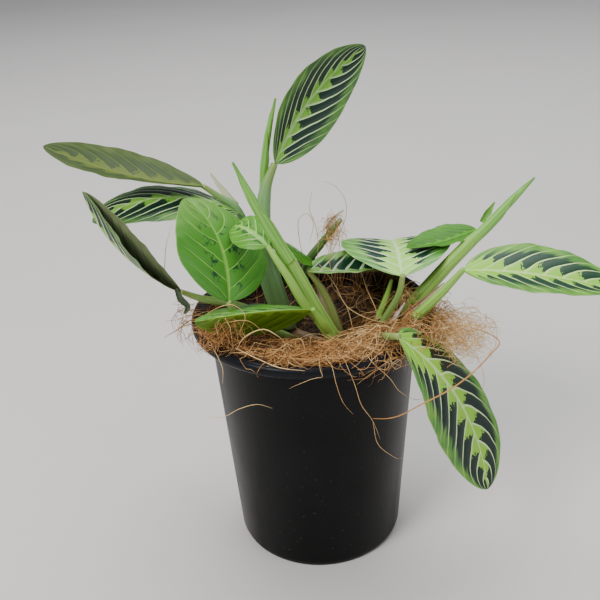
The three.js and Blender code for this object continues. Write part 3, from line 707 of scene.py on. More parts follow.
# a cupped strip: centre + first * sin(c t) / c * w + second * (1 - cos(c t)) / c * w, t from -1 to 1,
# with a ragged width, given its thickness along the strip's normal
def cupSurface(path, widths, cup, s, t):
    line = smoothPath(path, len(s))
    _, first, second = pathAxes(line)
    width = np.interp(s, np.linspace(0, 1, len(widths)), widths)
    width = width + sheathLook["ragged"] * (lumps(s * 17, np.sign(t) * 3 + 9.5) - 0.5) * np.abs(t)
    out = (np.sin(cup * t) / cup * width)[..., None]
    up = ((1 - np.cos(cup * t)) / cup * width)[..., None]
    place = line[:, None] + first[:, None] * out + second[:, None] * up
    normal = second[:, None] * np.cos(cup * t)[..., None] - first[:, None] * np.sin(cup * t)[..., None]
    thick = sheathLook["thickness"] / 2
    return place + normal * thick, place - normal * thick


# a papery strip: two colours in fibres along it, with blotches of the darker one
def sheathMaterial(name, colors):
    material, nodes, skin = newMaterial(name, colors[1])
    fibres = nodes.noise(nodes.scaled(nodes.uvPlace(), 2.0, 16.0, 1.0), 1.6, 4, 0.65)
    blotch = nodes.noise(nodes.objectPlace(), 260.0, 3)
    color = nodes.mix(nodes.ramp(fibres, 0.35, 0.62), colors[0], colors[1])
    color = nodes.mix(nodes.ramp(blotch, 0.5, 0.7, 0.0, 0.5), color, colors[0])
    nodes.finish(skin, color, nodes.ramp(fibres, 0.3, 0.7, 0.6, 0.8), fibres, 0.5, 0.0004)
    return material


# every dry strip as a thin cupped shell with a skin of its own
def makeSheaths():
    s, t = shareGrid(sheathLook["rows"], sheathLook["columns"])
    for node, sheath in sheaths.items():
        faces = cupSurface(sheath["path"], sheath["widths"], sheath["cup"], s, t)
        points, uv = shellPoints(*faces, s, t, node)
        # the strip's first axis points to its right, so its faces turn the other way from a blade's
        quads = np.concatenate(shellFaces(*s.shape))[:, ::-1]
        material = sheathMaterial("paper_" + node, sheath["colors"])
        makePiece("strip_" + node, points, quads, [material], [node], uv=uv)
    print("sheaths made")


# The nursery pot: its section in millimetres as distances from the axis and heights above its base.
pot = dict(height=178, rimRadius=82.5, lipHeight=7.7, bodyTop=70.7, bodyBase=59.7, wall=2, foot=2.5,
    floor=2.5, pad=18, slope=2, footInner=51, holeRadius=5, holeCircle=35, holes=6, around=192,
    holeRegion=(23, 48))


# a line of points with each corner replaced by a short curve: (1-u)^2 a + 2u(1-u) p + u^2 b
def roundCorners(points, reach, steps=5):
    p = np.array(points, float)
    back, on = p[:-2] - p[1:-1], p[2:] - p[1:-1]
    lengths = np.minimum(np.linalg.norm(back, axis=1), np.linalg.norm(on, axis=1))
    r = np.minimum(np.broadcast_to(reach, lengths.shape), lengths * 0.45)[:, None]
    a, b = p[1:-1] + unit(back) * r, p[1:-1] + unit(on) * r
    u = np.linspace(0, 1, steps)[None, :, None]
    curves = (1 - u) ** 2 * a[:, None] + 2 * u * (1 - u) * p[1:-1, None] + u ** 2 * b[:, None]
    return np.concatenate([p[:1], curves.reshape(-1, 2), p[-1:]])


# a section of radii and heights turned about the axis
def turned(profile, around):
    r, z = np.asarray(profile)[:, 0, None], np.asarray(profile)[:, 1, None]
    return polar(r, np.arange(around) / around * 2 * np.pi, z)


# merges points that lie in the same place, so that separately made surfaces close onto each other
def weld(points, quads):
    _, first, index = np.unique(np.round(points, 3), axis=0, return_index=True, return_inverse=True)
    return points[first], index.reshape(-1)[quads]


# one sixth of the pot's floor round its drain hole, on one level: rows run from the hole's circle
# straight out to the outline of the sector
def holeSector(number, level, rows=7):
    low, high = pot["holeRegion"]
    steps = pot["around"] // pot["holes"]
    turnStep = 2 * np.pi / pot["around"]
    start = (number - 0.5) * steps * turnStep
    arc = start + np.arange(steps + 1) * turnStep
    side = np.linspace(low, high, 10)
    outline = [(high, arc), (side[::-1], arc[-1]), (low, arc[::-1]), (side, arc[0])]
    line = np.concatenate([polar(r, a, 0)[:-1, :2] for r, a in outline])
    middle = polar(pot["holeCircle"], start + steps / 2 * turnStep, 0)[:2]
    circle = middle + unit(line - middle) * pot["holeRadius"]
    v = np.linspace(0, 1, rows)[:, None, None]
    flat = circle * (1 - v) + line * v
    return np.concatenate([flat, np.full((*flat.shape[:2], 1), level)], -1)


# the pot: its wall, the pad under its middle, and a floor with its drain holes, welded into one body
def makePot():
    low, high = pot["holeRegion"]
    top, under = pot["height"], pot["height"] - pot["lipHeight"]
    rim, foot, floor = pot["rimRadius"], pot["foot"], pot["foot"] + pot["floor"]
    wallAt = lambda z: pot["bodyBase"] + (pot["bodyTop"] - pot["bodyBase"]) * z / under
    section = [
        (high, foot), (pot["footInner"], foot), (pot["footInner"] + pot["slope"], 0), (wallAt(0) - 1, 0),
        (wallAt(2) + 0.1, 3.2), (wallAt(under), under), (rim - 2.2, under - 0.6), (rim - 0.2, under + 1.6),
        (rim, under + 3.9), (rim - 0.9, top - 1.3), (rim - 3.2, top), (rim - 7, top - 0.5),
        (wallAt(under) + 0.6, top - 3), (wallAt(under) - pot["wall"], under - 2),
        (wallAt(floor) - pot["wall"], floor), (high, floor)]
    cornerReach = np.array([0.6, 0.8, 0.8, 2.6, 1.5, 1.2, 1.6, 1.4, 1.4, 1.3, 2.0, 2.5, 3.0, 1.5])
    wall = turned(roundCorners(section, cornerReach), pot["around"])
    padSection = [(1, 0), (pot["pad"], 0), (pot["pad"] + pot["slope"], foot), (low, foot)]
    pad = turned(roundCorners(padSection, 0.8), pot["around"])
    cover = turned([(low, floor), (12, floor), (1, floor)], pot["around"])
    points, quads, start = [], [], 0

    def addGrid(grid, flip=False):
        nonlocal start
        points.append(grid.reshape(-1, 3))
        quads.append(gridFaces(*grid.shape[:2], wrap=True, start=start, flip=flip))
        start += grid.shape[0] * grid.shape[1]

    for grid in (wall, pad, cover):
        addGrid(grid)
    # the fans that close the middle of the underside and of the floor
    k = np.arange(pot["around"])
    centre, ahead = np.full_like(k, pot["around"]), np.roll(k, -1)
    fans = [(pad[0], 0, (centre, ahead, k, k)), (cover[-1], floor, (centre, k, ahead, ahead))]
    for ring, level, fan in fans:
        points.append(np.concatenate([ring, [[0, 0, level]]]))
        quads.append(np.stack(fan, -1) + start)
        start += len(ring) + 1
    for number in range(pot["holes"]):
        below, above = holeSector(number, foot), holeSector(number, floor)
        addGrid(below)
        addGrid(above, flip=True)
        addGrid(np.stack([above[0], below[0]]))
    points, quads = weld(np.concatenate(points), np.concatenate(quads))
    makePiece("pot_wall", points, quads, [potMaterial()], ["nursery_pot"])
    print("pot made")


# black moulded plastic: satin, with a painted bluish highlight along the lip, faint drips and dust
def potMaterial():
    material, nodes, skin = newMaterial("blackPlastic", (0.03, 0.03, 0.035))
    place = nodes.objectPlace()
    cloud = nodes.noise(place, 22.0, 4)
    grain = nodes.noise(place, 1800.0, 2)
    drips = nodes.noise(nodes.scaled(place, 60.0, 60.0, 6.0), 1.0, 3)
    specks = nodes.noise(place, 420.0, 2, 0.7)
    height = nodes.split(place)[2]
    color = nodes.mix(nodes.ramp(cloud, 0.35, 0.7), (0.0016, 0.0017, 0.002), (0.0034, 0.0036, 0.0042))
    # the paler bluish band round the lip is a painted highlight
    color = nodes.mix(nodes.ramp(height, 0.166, 0.176), color, (0.009, 0.01, 0.0125))
    dust = nodes.times(nodes.ramp(specks, 0.66, 0.74), nodes.ramp(height, 0.0, 0.12, 0.35, 0.08))
    color = nodes.mix(dust, color, (0.2, 0.17, 0.13))
    rough = nodes.plus(nodes.ramp(cloud, 0.3, 0.7, 0.3, 0.38), nodes.ramp(drips, 0.45, 0.7, 0.0, 0.08))
    nodes.finish(skin, color, rough, nodes.line(grain, 0.5, drips), 0.06, 0.0004, shine=0.12)
    return material


# Potting mix and coir: the same heights as the solids', with finer lumps.
bed = dict(soilTop=146, soilDome=3, shoulder=40, shoulderHeight=147.8, lowest=3, heap=32, hollow=5,
    reach=74, inside=66.2, rim=82.5, rimTop=178, around=240)
bedAngles = np.arange(bed["around"]) / bed["around"] * 2 * np.pi


# how far a direction faces the front: 0 at the back, 1 a little right of the front
def frontShare(a):
    return 0.5 - 0.5 * np.sin(a - 0.15)


# height of the mulch at a radius and an angle: a heap towards the rim, highest in front, less a hollow behind
def coirTop(r, a):
    out = r / bed["rim"]
    front = frontShare(a)
    heap = bed["heap"] * out ** 1.6 * (0.5 + 0.5 * front)
    hollow = bed["hollow"] * np.exp(-((out - 0.35) / 0.3) ** 2) * (1 - front)
    wave = 0.7 * np.sin(5 * a + 9 * out) + 0.5 * np.sin(11 * a - 6 * out)
    return bed["soilTop"] + bed["soilDome"] + bed["lowest"] + heap - hollow + wave * out


# the mulch's edge: inside the wall at the back and sides, out over the lip at the front
def coirEdge(a):
    return bed["inside"] + (bed["reach"] - bed["inside"]) * smoothStep(frontShare(a), 0.75, 0.92)


# a ring of the bed at one radius or at one for each angle
def bedRing(r, z):
    return polar(r, bedAngles, z)


# lumps over the bed at a radius, of this many millimetres, starting from a place of the lattice
def bedLumps(r, size, shift):
    return lumps(r * np.cos(bedAngles) / size + shift[0], r * np.sin(bedAngles) / size + shift[1])


# a body turned about the axis from rings of radii and heights, closed by a fan at its foot and its top
def turnedBody(rings):
    points = np.stack(rings)
    ends = np.stack([points[0].mean(0), points[-1].mean(0)])
    return np.concatenate([points.reshape(-1, 3), ends]), tubeFaces(len(rings), points.shape[1])


# the mix: a flat foot, a side inside the pot's wall and a crumbly top, top + dome * (1 - (r / wall)^2)
def makeSoil():
    low, high = nodeBox("potting_soil")
    base, wall = pot["bodyBase"] - pot["wall"] - 0.4, high[0] - 0.2

    def crumb(r):
        rise = bed["soilTop"] + bed["soilDome"] * (1 - (r / wall) ** 2)
        return rise - 1.4 + 1.1 * bedLumps(r, 3, (31, 31)) + 0.7 * bedLumps(r, 1.2, (7, 7))

    rings = [bedRing(1, low[2]), bedRing(base, low[2]), bedRing(wall, bed["soilTop"] - 2)]
    rings += [bedRing(r, crumb(r)) for r in np.linspace(wall - 0.3, 1, 60)]
    points, quads = turnedBody(rings)
    makePiece("potting_mix", points, quads, [soilMaterial()], ["potting_soil"])


# dark crumbs with lighter bits of bark
def soilMaterial():
    material, nodes, skin = newMaterial("darkSoil", (0.05, 0.03, 0.02))
    place = nodes.objectPlace()
    grains = nodes.noise(place, 420.0, 4, 0.7)
    bark = nodes.noise(place, 130.0, 3)
    color = nodes.mix(nodes.ramp(grains, 0.35, 0.65), (0.012, 0.007, 0.004), (0.06, 0.032, 0.016))
    color = nodes.mix(nodes.ramp(bark, 0.6, 0.72), color, (0.12, 0.06, 0.028))
    nodes.finish(skin, color, nodes.ramp(grains, 0.3, 0.7, 0.75, 0.95), grains, 0.8, 0.002)
    return material


# the packed fibre under the loose strands, a little below the mulch's surface: it lies on the mix,
# rises inside the wall, and passes over the lip where the mulch does
def makeCoirMat():
    edge = coirEdge(bedAngles)

    # the mulch's surface, sunk and made rough by lumps of two sizes
    def matTop(r):
        rough = 1.6 * bedLumps(r, 6, (0, 5)) + 0.9 * bedLumps(r, 2.1, (3, 0))
        return coirTop(r, bedAngles) - 3.4 + rough

    # the lip's own surface inside the rim: the mat stays above it
    def lipTop(r):
        return np.interp(r, [67.5, 68.7, 71.3, 75.5], [0, 169, 175.4, 178.2])

    gap, depth = 0.2, 4
    under, inside = bed["soilTop"] + 1.2, bed["inside"]
    rings = [bedRing(2, bed["soilTop"] + bed["soilDome"] + gap),
             bedRing(bed["shoulder"], bed["shoulderHeight"] + gap), bedRing(inside, under),
             bedRing(inside, np.maximum(np.minimum(matTop(edge) - depth, 168), under + 0.1))]
    for share in (0.25, 0.5, 0.75, 1):
        r = inside + (edge - 0.6 - inside) * share
        lowest = np.maximum(matTop(r) - depth, lipTop(r) + gap)
        rings.append(bedRing(r, np.maximum(lowest, under + 0.5 * share)))
    for share in np.linspace(1, 0.02, 70):
        r = edge * share
        rings.append(bedRing(r, np.maximum(matTop(r), lipTop(r) + 0.7)))
    points, quads = turnedBody(rings)
    makePiece("coir_mat", points, quads, [matMaterial()], ["coir_mulch"])


# packed fibre: two crossing sets of streaks, darker in patches, with painted shade towards the back
def matMaterial():
    material, nodes, skin = newMaterial("packedCoir", (0.2, 0.1, 0.04))
    place = nodes.objectPlace()
    patches = nodes.noise(place, 90.0, 3)
    first = nodes.noise(nodes.scaled(place, 900.0, 90.0, 300.0), 1.0, 3, 0.7)
    second = nodes.noise(nodes.scaled(place, 110.0, 800.0, 300.0), 1.0, 3, 0.7)
    strands = nodes.math("MAXIMUM", first, second)
    color = nodes.mix(nodes.ramp(strands, 0.48, 0.66), (0.012, 0.005, 0.002), (0.17, 0.07, 0.02))
    color = nodes.mix(nodes.ramp(patches, 0.45, 0.65, 0.0, 0.7), color, (0.05, 0.022, 0.01))
    # near-black towards the back: painted shade in the hollow behind the plant
    back = nodes.ramp(nodes.split(place)[1], -0.025, 0.02, 0.0, 0.75)
    color = nodes.mix(back, color, (0.012, 0.006, 0.003))
    nodes.finish(skin, color, nodes.ramp(strands, 0.4, 0.7, 0.95, 0.8), strands, 1.0, 0.002)
    return material


# a strand's skin: its shade runs from dark brown to straw, with patches along it
def strandMaterial():
    material, nodes, skin = newMaterial("coirStrand", (0.55, 0.32, 0.14))
    patch = nodes.noise(nodes.objectPlace(), 120.0, 2)
    shade = nodes.plus(nodes.value("shade").outputs["Fac"], nodes.line(patch, 0.5, -0.25))
    color = nodes.mix(nodes.ramp(shade, 0.08, 0.36), (0.034, 0.014, 0.005), (0.25, 0.105, 0.025))
    color = nodes.mix(nodes.ramp(shade, 0.38, 0.62), color, (0.52, 0.25, 0.065))
    color = nodes.mix(nodes.ramp(shade, 0.62, 0.95), color, (0.84, 0.58, 0.27))
    grain = nodes.noise(nodes.objectPlace(), 2500.0, 2)
    nodes.finish(skin, color, nodes.ramp(patch, 0.3, 0.7, 0.55, 0.75), grain, 0.3, 0.0002)
    return material


strand = strandMaterial()

# Loose coir: many thin four-sided tubes, closed by a quad at both ends. perPiece and loops are how many
# strands there are; lengths, radii and lifts are in millimetres.
coir = dict(perPiece=1250, pieces=4, segments=9, length=(22, 70), radius=(0.1, 0.26), loops=330,
    loopSegments=12, loopRadius=(7, 28), loopLift=(3, 15), loopReach=79,
    fineRadius=dict(loops=(0.11, 0.22), fringes=(0.09, 0.19), clouds=(0.09, 0.2)))
# strands that spill over the rim: angles in degrees, how far out they end, how far below the rim's top
fringes = dict(
    right=dict(count=110, angles=(-62, 4), out=(84, 91), drop=(1, 15), shade=0.62, wander=7),
    left=dict(count=34, angles=(174, 206), out=(84, 94), drop=(0, 9), shade=0.55, wander=4),
    front=dict(count=5, angles=(-136, -70), out=(84, 86), drop=(1, 12), shade=0.8, wander=4),
)


# tubes round many paths at once: paths is strands x points x 3, radii the thickest radius of each
def makeStrands(name, paths, radii, shades, replaced=(), taper=0.55):
    count, steps = paths.shape[:2]
    along = unit(np.gradient(paths, axis=1))
    first = unit(np.cross(along, np.array([0.13, 0.21, 0.97])))
    second = np.cross(along, first)
    s = np.linspace(-1, 1, steps)[None, :, None]
    r = radii[:, None, None] * (1 - taper * np.abs(s) ** 3)
    corners = np.arange(4) * np.pi / 2
    points = (paths[:, :, None] + first[:, :, None] * (np.cos(corners)[:, None] * r[:, :, None])
              + second[:, :, None] * (np.sin(corners)[:, None] * r[:, :, None]))
    one = gridFaces(steps, 4, wrap=True)
    last = (steps - 1) * 4
    one = np.concatenate([one, [[3, 2, 1, 0]], [[last, last + 1, last + 2, last + 3]]])
    quads = (one[None] + np.arange(count)[:, None, None] * steps * 4).reshape(-1, 4)
    makePiece(name, points.reshape(-1, 3), quads, [strand], replaced,
              values={"shade": np.repeat(shades, steps * 4)})


# where a loose strand rests: on the mulch, over the lip, and hanging a little outside it
def restHeight(x, y):
    r, a = np.hypot(x, y), np.arctan2(y, x)
    edge = coirEdge(a)
    on = coirTop(np.minimum(r, edge), a) - 1.5 * np.maximum(r - edge, 0)
    lip = bed["rimTop"] + 0.3 - 0.08 * np.maximum(r - 78, 0) ** 2
    return np.where((r > 68.5) | (r > edge), np.maximum(on, lip), on)


# how far to the left a place is: 0 in the middle, 1 near the wall
def leftShare(r, a):
    return smoothStep(-r * np.cos(a), 5, 50)


# paths of loose strands: each starts at a place and a heading and wanders in level arcs,
# laid on the mulch and lifted between its ends
def looseStrands(x, y, depth, lift, length, segments, curl=0.035):
    column = (len(x), 1)
    step = np.linspace(0, 1, segments + 1)[None, :]
    heading = random.uniform(0, 2 * np.pi, column)
    heading = heading + random.normal(0, curl, column) * length[:, None] * step
    heading = heading + random.normal(0, 0.8, column) * np.sin(
        random.uniform(2, 7, column) * step + random.uniform(0, 6, column))
    run = (length / segments)[:, None]
    px, py = np.cumsum(np.cos(heading), 1) * run, np.cumsum(np.sin(heading), 1) * run
    px, py = px - px.mean(1, keepdims=True) + x[:, None], py - py.mean(1, keepdims=True) + y[:, None]
    r, a = np.hypot(px, py), np.arctan2(py, px)
    # a strand that would stick out past this limit is drawn back to it by seven tenths
    limit = np.maximum(coirEdge(a), 62 + 14 * frontShare(a))
    kept = np.where(r > limit, limit + (r - limit) * 0.3, r)
    px, py = px * kept / r, py * kept / r
    pz = restHeight(px, py) + depth[:, None] + lift[:, None] * np.sin(np.pi * step) ** 2
    return np.stack([px, py, pz], -1)


# loose strands all over the mulch: more of them, higher and paler, towards the front and the rim; that
# paleness is painted light, and those lying deeper are darkened as painted shade
def makeCoirStrands():
    for number in range(coir["pieces"]):
        count = coir["perPiece"]
        a = random.uniform(0, 2 * np.pi, count)
        r = coirEdge(a) * random.uniform(0.05, 1, count) ** 0.42
        forward = random.uniform(0, 1, count) < 0.62
        a = np.where(forward, random.normal(-1.35, 0.85, count), a)
        front = frontShare(a)
        depth = random.uniform(-2.4, 1.2 + 2.6 * front, count)
        lift = random.exponential(1.0 + 1.4 * front, count)
        length = random.uniform(*coir["length"], count)
        paths = looseStrands(r * np.cos(a), r * np.sin(a), depth, lift, length, coir["segments"])
        radii = random.uniform(*coir["radius"], count)
        # painted light: paler towards the front and the rim; the depth term below is painted shade, darker
        # the deeper a strand lies
        paler = 0.3 * front * (0.4 + smoothStep(r, 45, 68)) - 0.26 * leftShare(r, a)
        shade = random.normal(0.08, 0.2, count) + depth * 0.08 + paler
        makeStrands("coir_strands_%d" % (number + 1), paths, radii, np.clip(shade, 0, 1))


# strands that rise out of the mulch in arcs: middle + R (cos f, sin f), with f running through the arc's
# turn, lifted by lift * sin(pi u) and tilted to one side
def makeCoirLoops():
    count, steps = coir["loops"], coir["loopSegments"] + 1
    u = np.linspace(0, 1, steps)[None, :]
    forward = random.uniform(0, 1, count) < 0.8
    a = np.where(forward, random.normal(-1.4, 0.95, count), random.uniform(0, 6.3, count))
    r = 70 * random.uniform(0.25, 1, count) ** 0.6
    radius = random.uniform(*coir["loopRadius"], count)[:, None]
    f = random.uniform(0, 2 * np.pi, (count, 1)) + random.uniform(1.2, 4.2, (count, 1)) * (u - 0.5)
    x = (r * np.cos(a))[:, None] + radius * (np.cos(f) - np.cos(f.mean(1, keepdims=True)))
    y = (r * np.sin(a))[:, None] + radius * (np.sin(f) - np.sin(f.mean(1, keepdims=True)))
    far = np.maximum(np.hypot(x, y) / coir["loopReach"], 1)
    x, y = x / far, y / far
    lift = random.uniform(*coir["loopLift"], count)[:, None] * (0.4 + 0.6 * frontShare(a))[:, None]
    tilt = random.uniform(-3, 3, (count, 1)) * (u - 0.5)
    z = restHeight(x, y) + 0.6 + lift * np.sin(np.pi * u) ** 1.2 + tilt
    shade = np.clip(random.normal(0.68, 0.22, count) - 0.3 * leftShare(r, a), 0, 1)
    paths = np.stack([x, y, np.maximum(z, restHeight(x, y) - 1)], -1)
    makeStrands("coir_loops", paths, random.uniform(*coir["fineRadius"]["loops"], count), shade)


# curves through three points each, (1-u)^2 a + 2u(1-u) b + u^2 c, that wander between their ends
def arcs(a, b, c, segments, wander):
    u = np.linspace(0, 1, segments + 1)[None, :, None]
    line = (1 - u) ** 2 * a[:, None] + 2 * u * (1 - u) * b[:, None] + u ** 2 * c[:, None]
    for turns in (2.0, 4.5):
        phase = random.uniform(0, 2 * np.pi, (len(a), 1, 3))
        line = line + wander / turns * np.sin(turns * np.pi * u + phase) * 4 * u * (1 - u)
    return line


# strands that leave the mulch, cross the lip and hang or stand a little outside it
def makeCoirFringes():
    top = bed["rimTop"]
    for name, look in fringes.items():
        count = look["count"]
        a = np.radians(random.uniform(*look["angles"], count))
        r, out = random.uniform(68, 78, count), random.uniform(*look["out"], count)
        start = polar(r, a, restHeight(r * np.cos(a), r * np.sin(a)) + random.uniform(0, 3, count))
        middle = polar(out + 7, a + random.normal(0, 0.12, count), top + 2 + random.uniform(0, 6, count))
        least, most = look["drop"]
        drop = random.uniform(0, 1, count) ** 1.6 * (most - least) + least
        end = polar(out, a + random.normal(0, 0.25, count), top - drop)
        x, y, z = np.moveaxis(arcs(start, middle, end, 12, look["wander"]), -1, 0)
        r, a = np.hypot(x, y), np.arctan2(y, x)
        # those below the rim's top stay outside the lip
        low = smoothStep(top + 0.6 - z, 0, 1.5) * smoothStep(r, 74, 79)
        r = r + low * np.maximum(bed["rim"] + 0.5 - r, 0)
        shade = np.clip(random.normal(look["shade"], 0.16, count), 0, 1)
        radii = random.uniform(*coir["fineRadius"]["fringes"], count)
        makeStrands("coir_fringe_" + name, polar(r, a, z), radii, shade)
    print("loose coir made")


# clouds of strands: the tuft over the rim, those caught on the folded leaf and those round the old stub
# and a right-hand stalk, each with its middle and half its size
clouds = dict(
    tuft=dict(count=500, middle=(88, -28, 168), half=(27, 26, 12), length=(16, 60), rise=0.4, shade=0.84,
        replaced=["coir_tuft"]),
    leafSnag=dict(count=120, middle=(-59, -55, 190), half=(17, 5, 10), length=(16, 50), rise=0.8, shade=0.5),
    stubSnag=dict(count=60, middle=(15, 18, 224), half=(9, 6, 12), length=(14, 40), rise=1.0, shade=0.66),
    stalkSnag=dict(count=46, middle=(64, -10, 182), half=(16, 8, 8), length=(16, 44), rise=0.9, shade=0.7),
)


# each strand is a run of short steps whose heading and slope drift, gathered towards the cloud's middle
def makeCoirCloud(name, look):
    count, steps = look["count"], coir["segments"] + 1
    column = (count, 1)
    middle, half = np.array(look["middle"], float), np.array(look["half"], float)
    start = middle + np.clip(random.normal(0, 0.45, (count, 3)), -1.2, 1.2) * half
    share = np.linspace(-1, 1, steps)
    heading = random.uniform(0, 2 * np.pi, column) + random.normal(0, 1.5, column) * share
    heading = heading + 0.7 * np.sin(random.uniform(2, 5, column) * share + random.uniform(0, 6, column))
    slope = random.normal(-0.05, look["rise"], column) + random.normal(0, 0.7, column) * share
    length = random.uniform(*look["length"], column)
    go = np.stack([np.cos(heading) * np.cos(slope), np.sin(heading) * np.cos(slope), np.sin(slope)], -1)
    paths = np.cumsum(go * (length / steps)[..., None], 1)
    paths = paths - paths.mean(1, keepdims=True) + start[:, None]
    out = (paths - middle) / half
    far = np.linalg.norm(out, axis=-1, keepdims=True)
    paths = middle + out * half / np.maximum(far / 1.15, 1) ** 0.6
    # clear of the rim, and resting on the mulch inside it
    x, y, z = paths[..., 0], paths[..., 1], paths[..., 2]
    r, lip = np.maximum(np.hypot(x, y), 1), 76
    outside = np.where((r > lip) & (z < bed["rimTop"] + 0.6), np.maximum(bed["rim"] + 0.6, r), r)
    z = np.where(r <= lip, np.maximum(z, restHeight(x, y) + 0.3), z)
    paths = np.stack([x * outside / r, y * outside / r, z], -1)
    away = np.linalg.norm((start - middle) / half, axis=1)
    shade = np.clip(random.normal(look["shade"], 0.14, count) + 0.12 * away, 0, 1)
    radii = random.uniform(*coir["fineRadius"]["clouds"], count)
    makeStrands("tangle_" + name, paths, radii, shade, look.get("replaced", ()))


# Long single strands, each along points of its own: its radius, how pale it is, and its path.
strays = dict(points=44, around=8, paths=[
    (0.24, 0.85, [[3, 10, 256], [1, 10, 245], [4, 12, 234], [6, 14, 221], [4, 14, 200]]),
    (0.24, 0.75, [[-4, 12, 205], [-7, 10, 229], [-6, 8, 239], [-1, 6, 243], [3, 8, 236], [0, 14, 218]]),
    (0.2, 0.7, [[11, 20, 260], [19, 18, 256], [25, 16, 247], [25, 14, 237], [20, 16, 222], [12, 14, 200]]),
    (0.22, 0.75, [[24, 18, 240], [20, 16, 231], [16, 10, 222], [13, 4, 208], [16, 0, 192]]),
    (0.22, 0.85, [[28, 12, 226], [22, 14, 228], [14, 16, 214], [10, 16, 196]]),
    (0.28, 0.85, [[16, -2, 190], [23, -4, 179], [26, -8, 168], [28, -14, 158]]),
    (0.28, 0.95, [[6, 2, 208], [16, 0, 193], [23, -6, 180], [39, -14, 173], [54, -20, 173]]),
    (0.26, 0.85, [[34, 10, 199], [38, 4, 186], [43, -4, 175], [44, -8, 166]]),
    (0.3, 0.9, [[-49, -58, 180], [-43, -60, 190], [-31, -62, 196], [-24, -62, 192], [-19, -60, 185],
        [-18, -62, 178]]),
    (0.28, 0.85, [[-49, -62, 184], [-34, -74, 182], [-22, -81, 180], [-7, -83.5, 178.5]]),
    (0.26, 0.8, [[-17, -56, 183], [-9, -60, 187], [-7, -64, 184], [-8, -72, 180]]),
    (0.2, 1.0, [[-68, -44, 183], [-62, -57, 179], [-58, -63, 171], [-59, -61, 158]]),
    (0.15, 0.75, [[7, -74, 181], [9, -84, 180], [11, -87, 170], [15, -86, 156], [21, -84, 146]]),
    (0.17, 0.8, [[16, -72, 181], [18, -84, 180], [22, -85, 168], [26, -83, 152], [33, -80, 138],
        [38, -78, 122]]),
    (0.2, 0.85, [[30, -70, 181], [33, -80, 180], [44, -77, 166], [50, -72, 154], [60, -66, 143],
        [70, -58, 138]]),
    (0.45, 0.6, [[34, -72, 134], [42, -84, 142], [49, -95, 152], [59, -99, 161], [75, -99, 170],
        [88, -97, 179], [100, -90, 187], [108, -80, 189], [106, -66, 187], [96, -54, 186], [79, -44, 185]]),
    (0.22, 0.95, [[-71, -60, 133], [-60, -62, 134], [-50, -60, 138], [-38, -62, 142], [-29, -64, 140]]),
    (0.18, 1.0, [[35, -62, 124], [38, -60, 106], [48, -50, 88], [54, -44, 80], [60, -40, 77]]),
    (0.4, 0.45, [[-70, -14, 178], [-82, -12, 178], [-90, -14, 173], [-100, -18, 169]]),
    (0.3, 0.55, [[-68, -8, 178], [-83, -7, 179], [-91, -6, 176], [-99, -6, 175]]),
    (0.22, 0.8, [[-71, -48, 192], [-62, -54, 206], [-49, -55, 210], [-42, -56, 203], [-46, -58, 192]]),
    (0.22, 0.7, [[-66, -46, 188], [-56, -56, 198], [-40, -58, 200], [-30, -58, 190]]),
    (0.22, 0.85, [[-96, -16, 205], [-94, -14, 219], [-92, -10, 232], [-88, -4, 243]]),
    (0.18, 0.85, [[-109, -14, 211], [-101, -16, 212], [-92, -20, 211]]),
    (0.2, 0.75, [[92, -36, 166], [100, -40, 161], [105, -44, 156], [109, -46, 142], [108, -46, 132]]),
    (0.2, 0.75, [[81, -42, 170], [88, -48, 159], [100, -48, 150], [109, -46, 146]]),
    (0.28, 0.8, [[90, -30, 172], [107, -30, 170], [112, -30, 172], [121, -30, 171]]),
    (0.28, 0.85, [[56, -12, 178], [60, -8, 191], [67, -4, 195], [73, -2, 192], [76, -2, 186]]),
])


# every long strand as a tube that thins towards both ends
def makeStrays():
    paths = strays["paths"]
    tubes = [dict(path=path, radii=[r * 0.6, r, r, r * 0.3]) for r, _, path in paths]
    points, quads, _, _ = joinTubes(tubes, strays["points"], strays["around"], reach=0)
    shades = np.repeat([shade for _, shade, _ in paths], len(points) // len(paths))
    makePiece("coir_long_strands", points, quads, [strand], values={"shade": shades})
    print("long strands made")


# puts a lamp, a camera or the floor into the scene
def placed(name, data):
    thing = bpy.data.objects.new(name, data)
    bpy.context.scene.collection.objects.link(thing)
    return thing


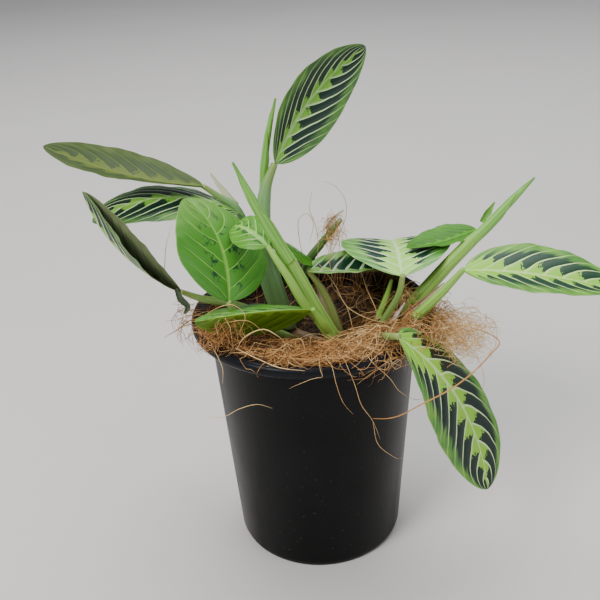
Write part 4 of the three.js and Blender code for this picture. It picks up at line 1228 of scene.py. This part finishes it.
# a pale square floor, just under the pot
def makeFloor():
    half, sunk = 9.0, 0.0002
    corners = [(-half, -half, 0), (half, -half, 0), (half, half, 0), (-half, half, 0)]
    mesh = bpy.data.meshes.new("floor")
    mesh.from_pydata(corners, [], [(0, 1, 2, 3)])
    floor = placed("floor", mesh)
    floor.location.z = -sunk
    material, nodes, skin = newMaterial("paleFloor", (0.75, 0.73, 0.7))
    cloud = nodes.noise(nodes.objectPlace(), 3.0, 3)
    nodes.put(skin["Base Color"], nodes.mix(cloud, (0.66, 0.63, 0.6), (0.72, 0.7, 0.67)))
    skin["Roughness"].default_value = 0.85
    mesh.materials.append(material)
    floor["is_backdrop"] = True


# round soft lights: where each stands in metres, its size and its power in watts; all face the plant
lights = dict(
    key=dict(at=(-1.0, -1.0, 1.5), size=0.8, power=30, color=(1.0, 0.98, 0.95)),
    fill=dict(at=(1.3, -0.8, 0.9), size=1.2, power=7, color=(0.93, 0.97, 1.0)),
    top=dict(at=(0.1, 0.9, 2.6), size=2.6, power=70, color=(0.97, 0.98, 1.0)),
)
worldLight = dict(color=(0.9, 0.92, 1.0), strength=0.3)


# the soft lights, turned to the middle of the plant, and the pale world round them
def makeLights():
    low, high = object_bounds()
    middle = (low + high) / 2
    for name, look in lights.items():
        data = bpy.data.lights.new(name, "AREA")
        data.shape, data.size, data.energy, data.color = "DISK", look["size"], look["power"], look["color"]
        light = placed(name, data)
        light.location = look["at"]
        light.rotation_euler = (middle - light.location).to_track_quat("-Z", "Y").to_euler()
    world = bpy.data.worlds.new("studio")
    world.use_nodes = True
    background = world.node_tree.nodes["Background"].inputs
    background["Color"].default_value = (*worldLight["color"], 1)
    background["Strength"].default_value = worldLight["strength"]
    bpy.context.scene.world = world


# the camera looks down at the plant from its front, turned a little on its own axis
view = dict(lens=50, pitch=26.9, roll=-2.78, distance=0.5645, aim=(-0.0081, 0.0, 0.1832))


def makeCamera():
    pitch, roll = np.radians(view["pitch"]), np.radians(view["roll"])
    forward = Vector((0, np.cos(pitch), -np.sin(pitch)))
    level = Vector((1, 0, 0))
    upright = Vector((0, np.sin(pitch), np.cos(pitch)))
    right = level * np.cos(roll) + upright * np.sin(roll)
    up = upright * np.cos(roll) - level * np.sin(roll)
    data = bpy.data.cameras.new("camera")
    data.lens, data.sensor_width = view["lens"], 36
    camera = placed("camera", data)
    turn = Matrix((right, up, -forward)).transposed().to_4x4()
    camera.matrix_world = Matrix.Translation(Vector(view["aim"]) - forward * view["distance"]) @ turn
    bpy.context.scene.camera = camera


makeCamera()
makeFloor()
makePot()
makeSoil()
makeCoirMat()
makeCoirStrands()
makeCoirLoops()
makeCoirFringes()
for cloudName, cloud in clouds.items():
    makeCoirCloud(cloudName, cloud)
print("clouds of coir made")
makeStrays()
makeStalks()
makeSheaths()
makeLeaves()
makeLights()
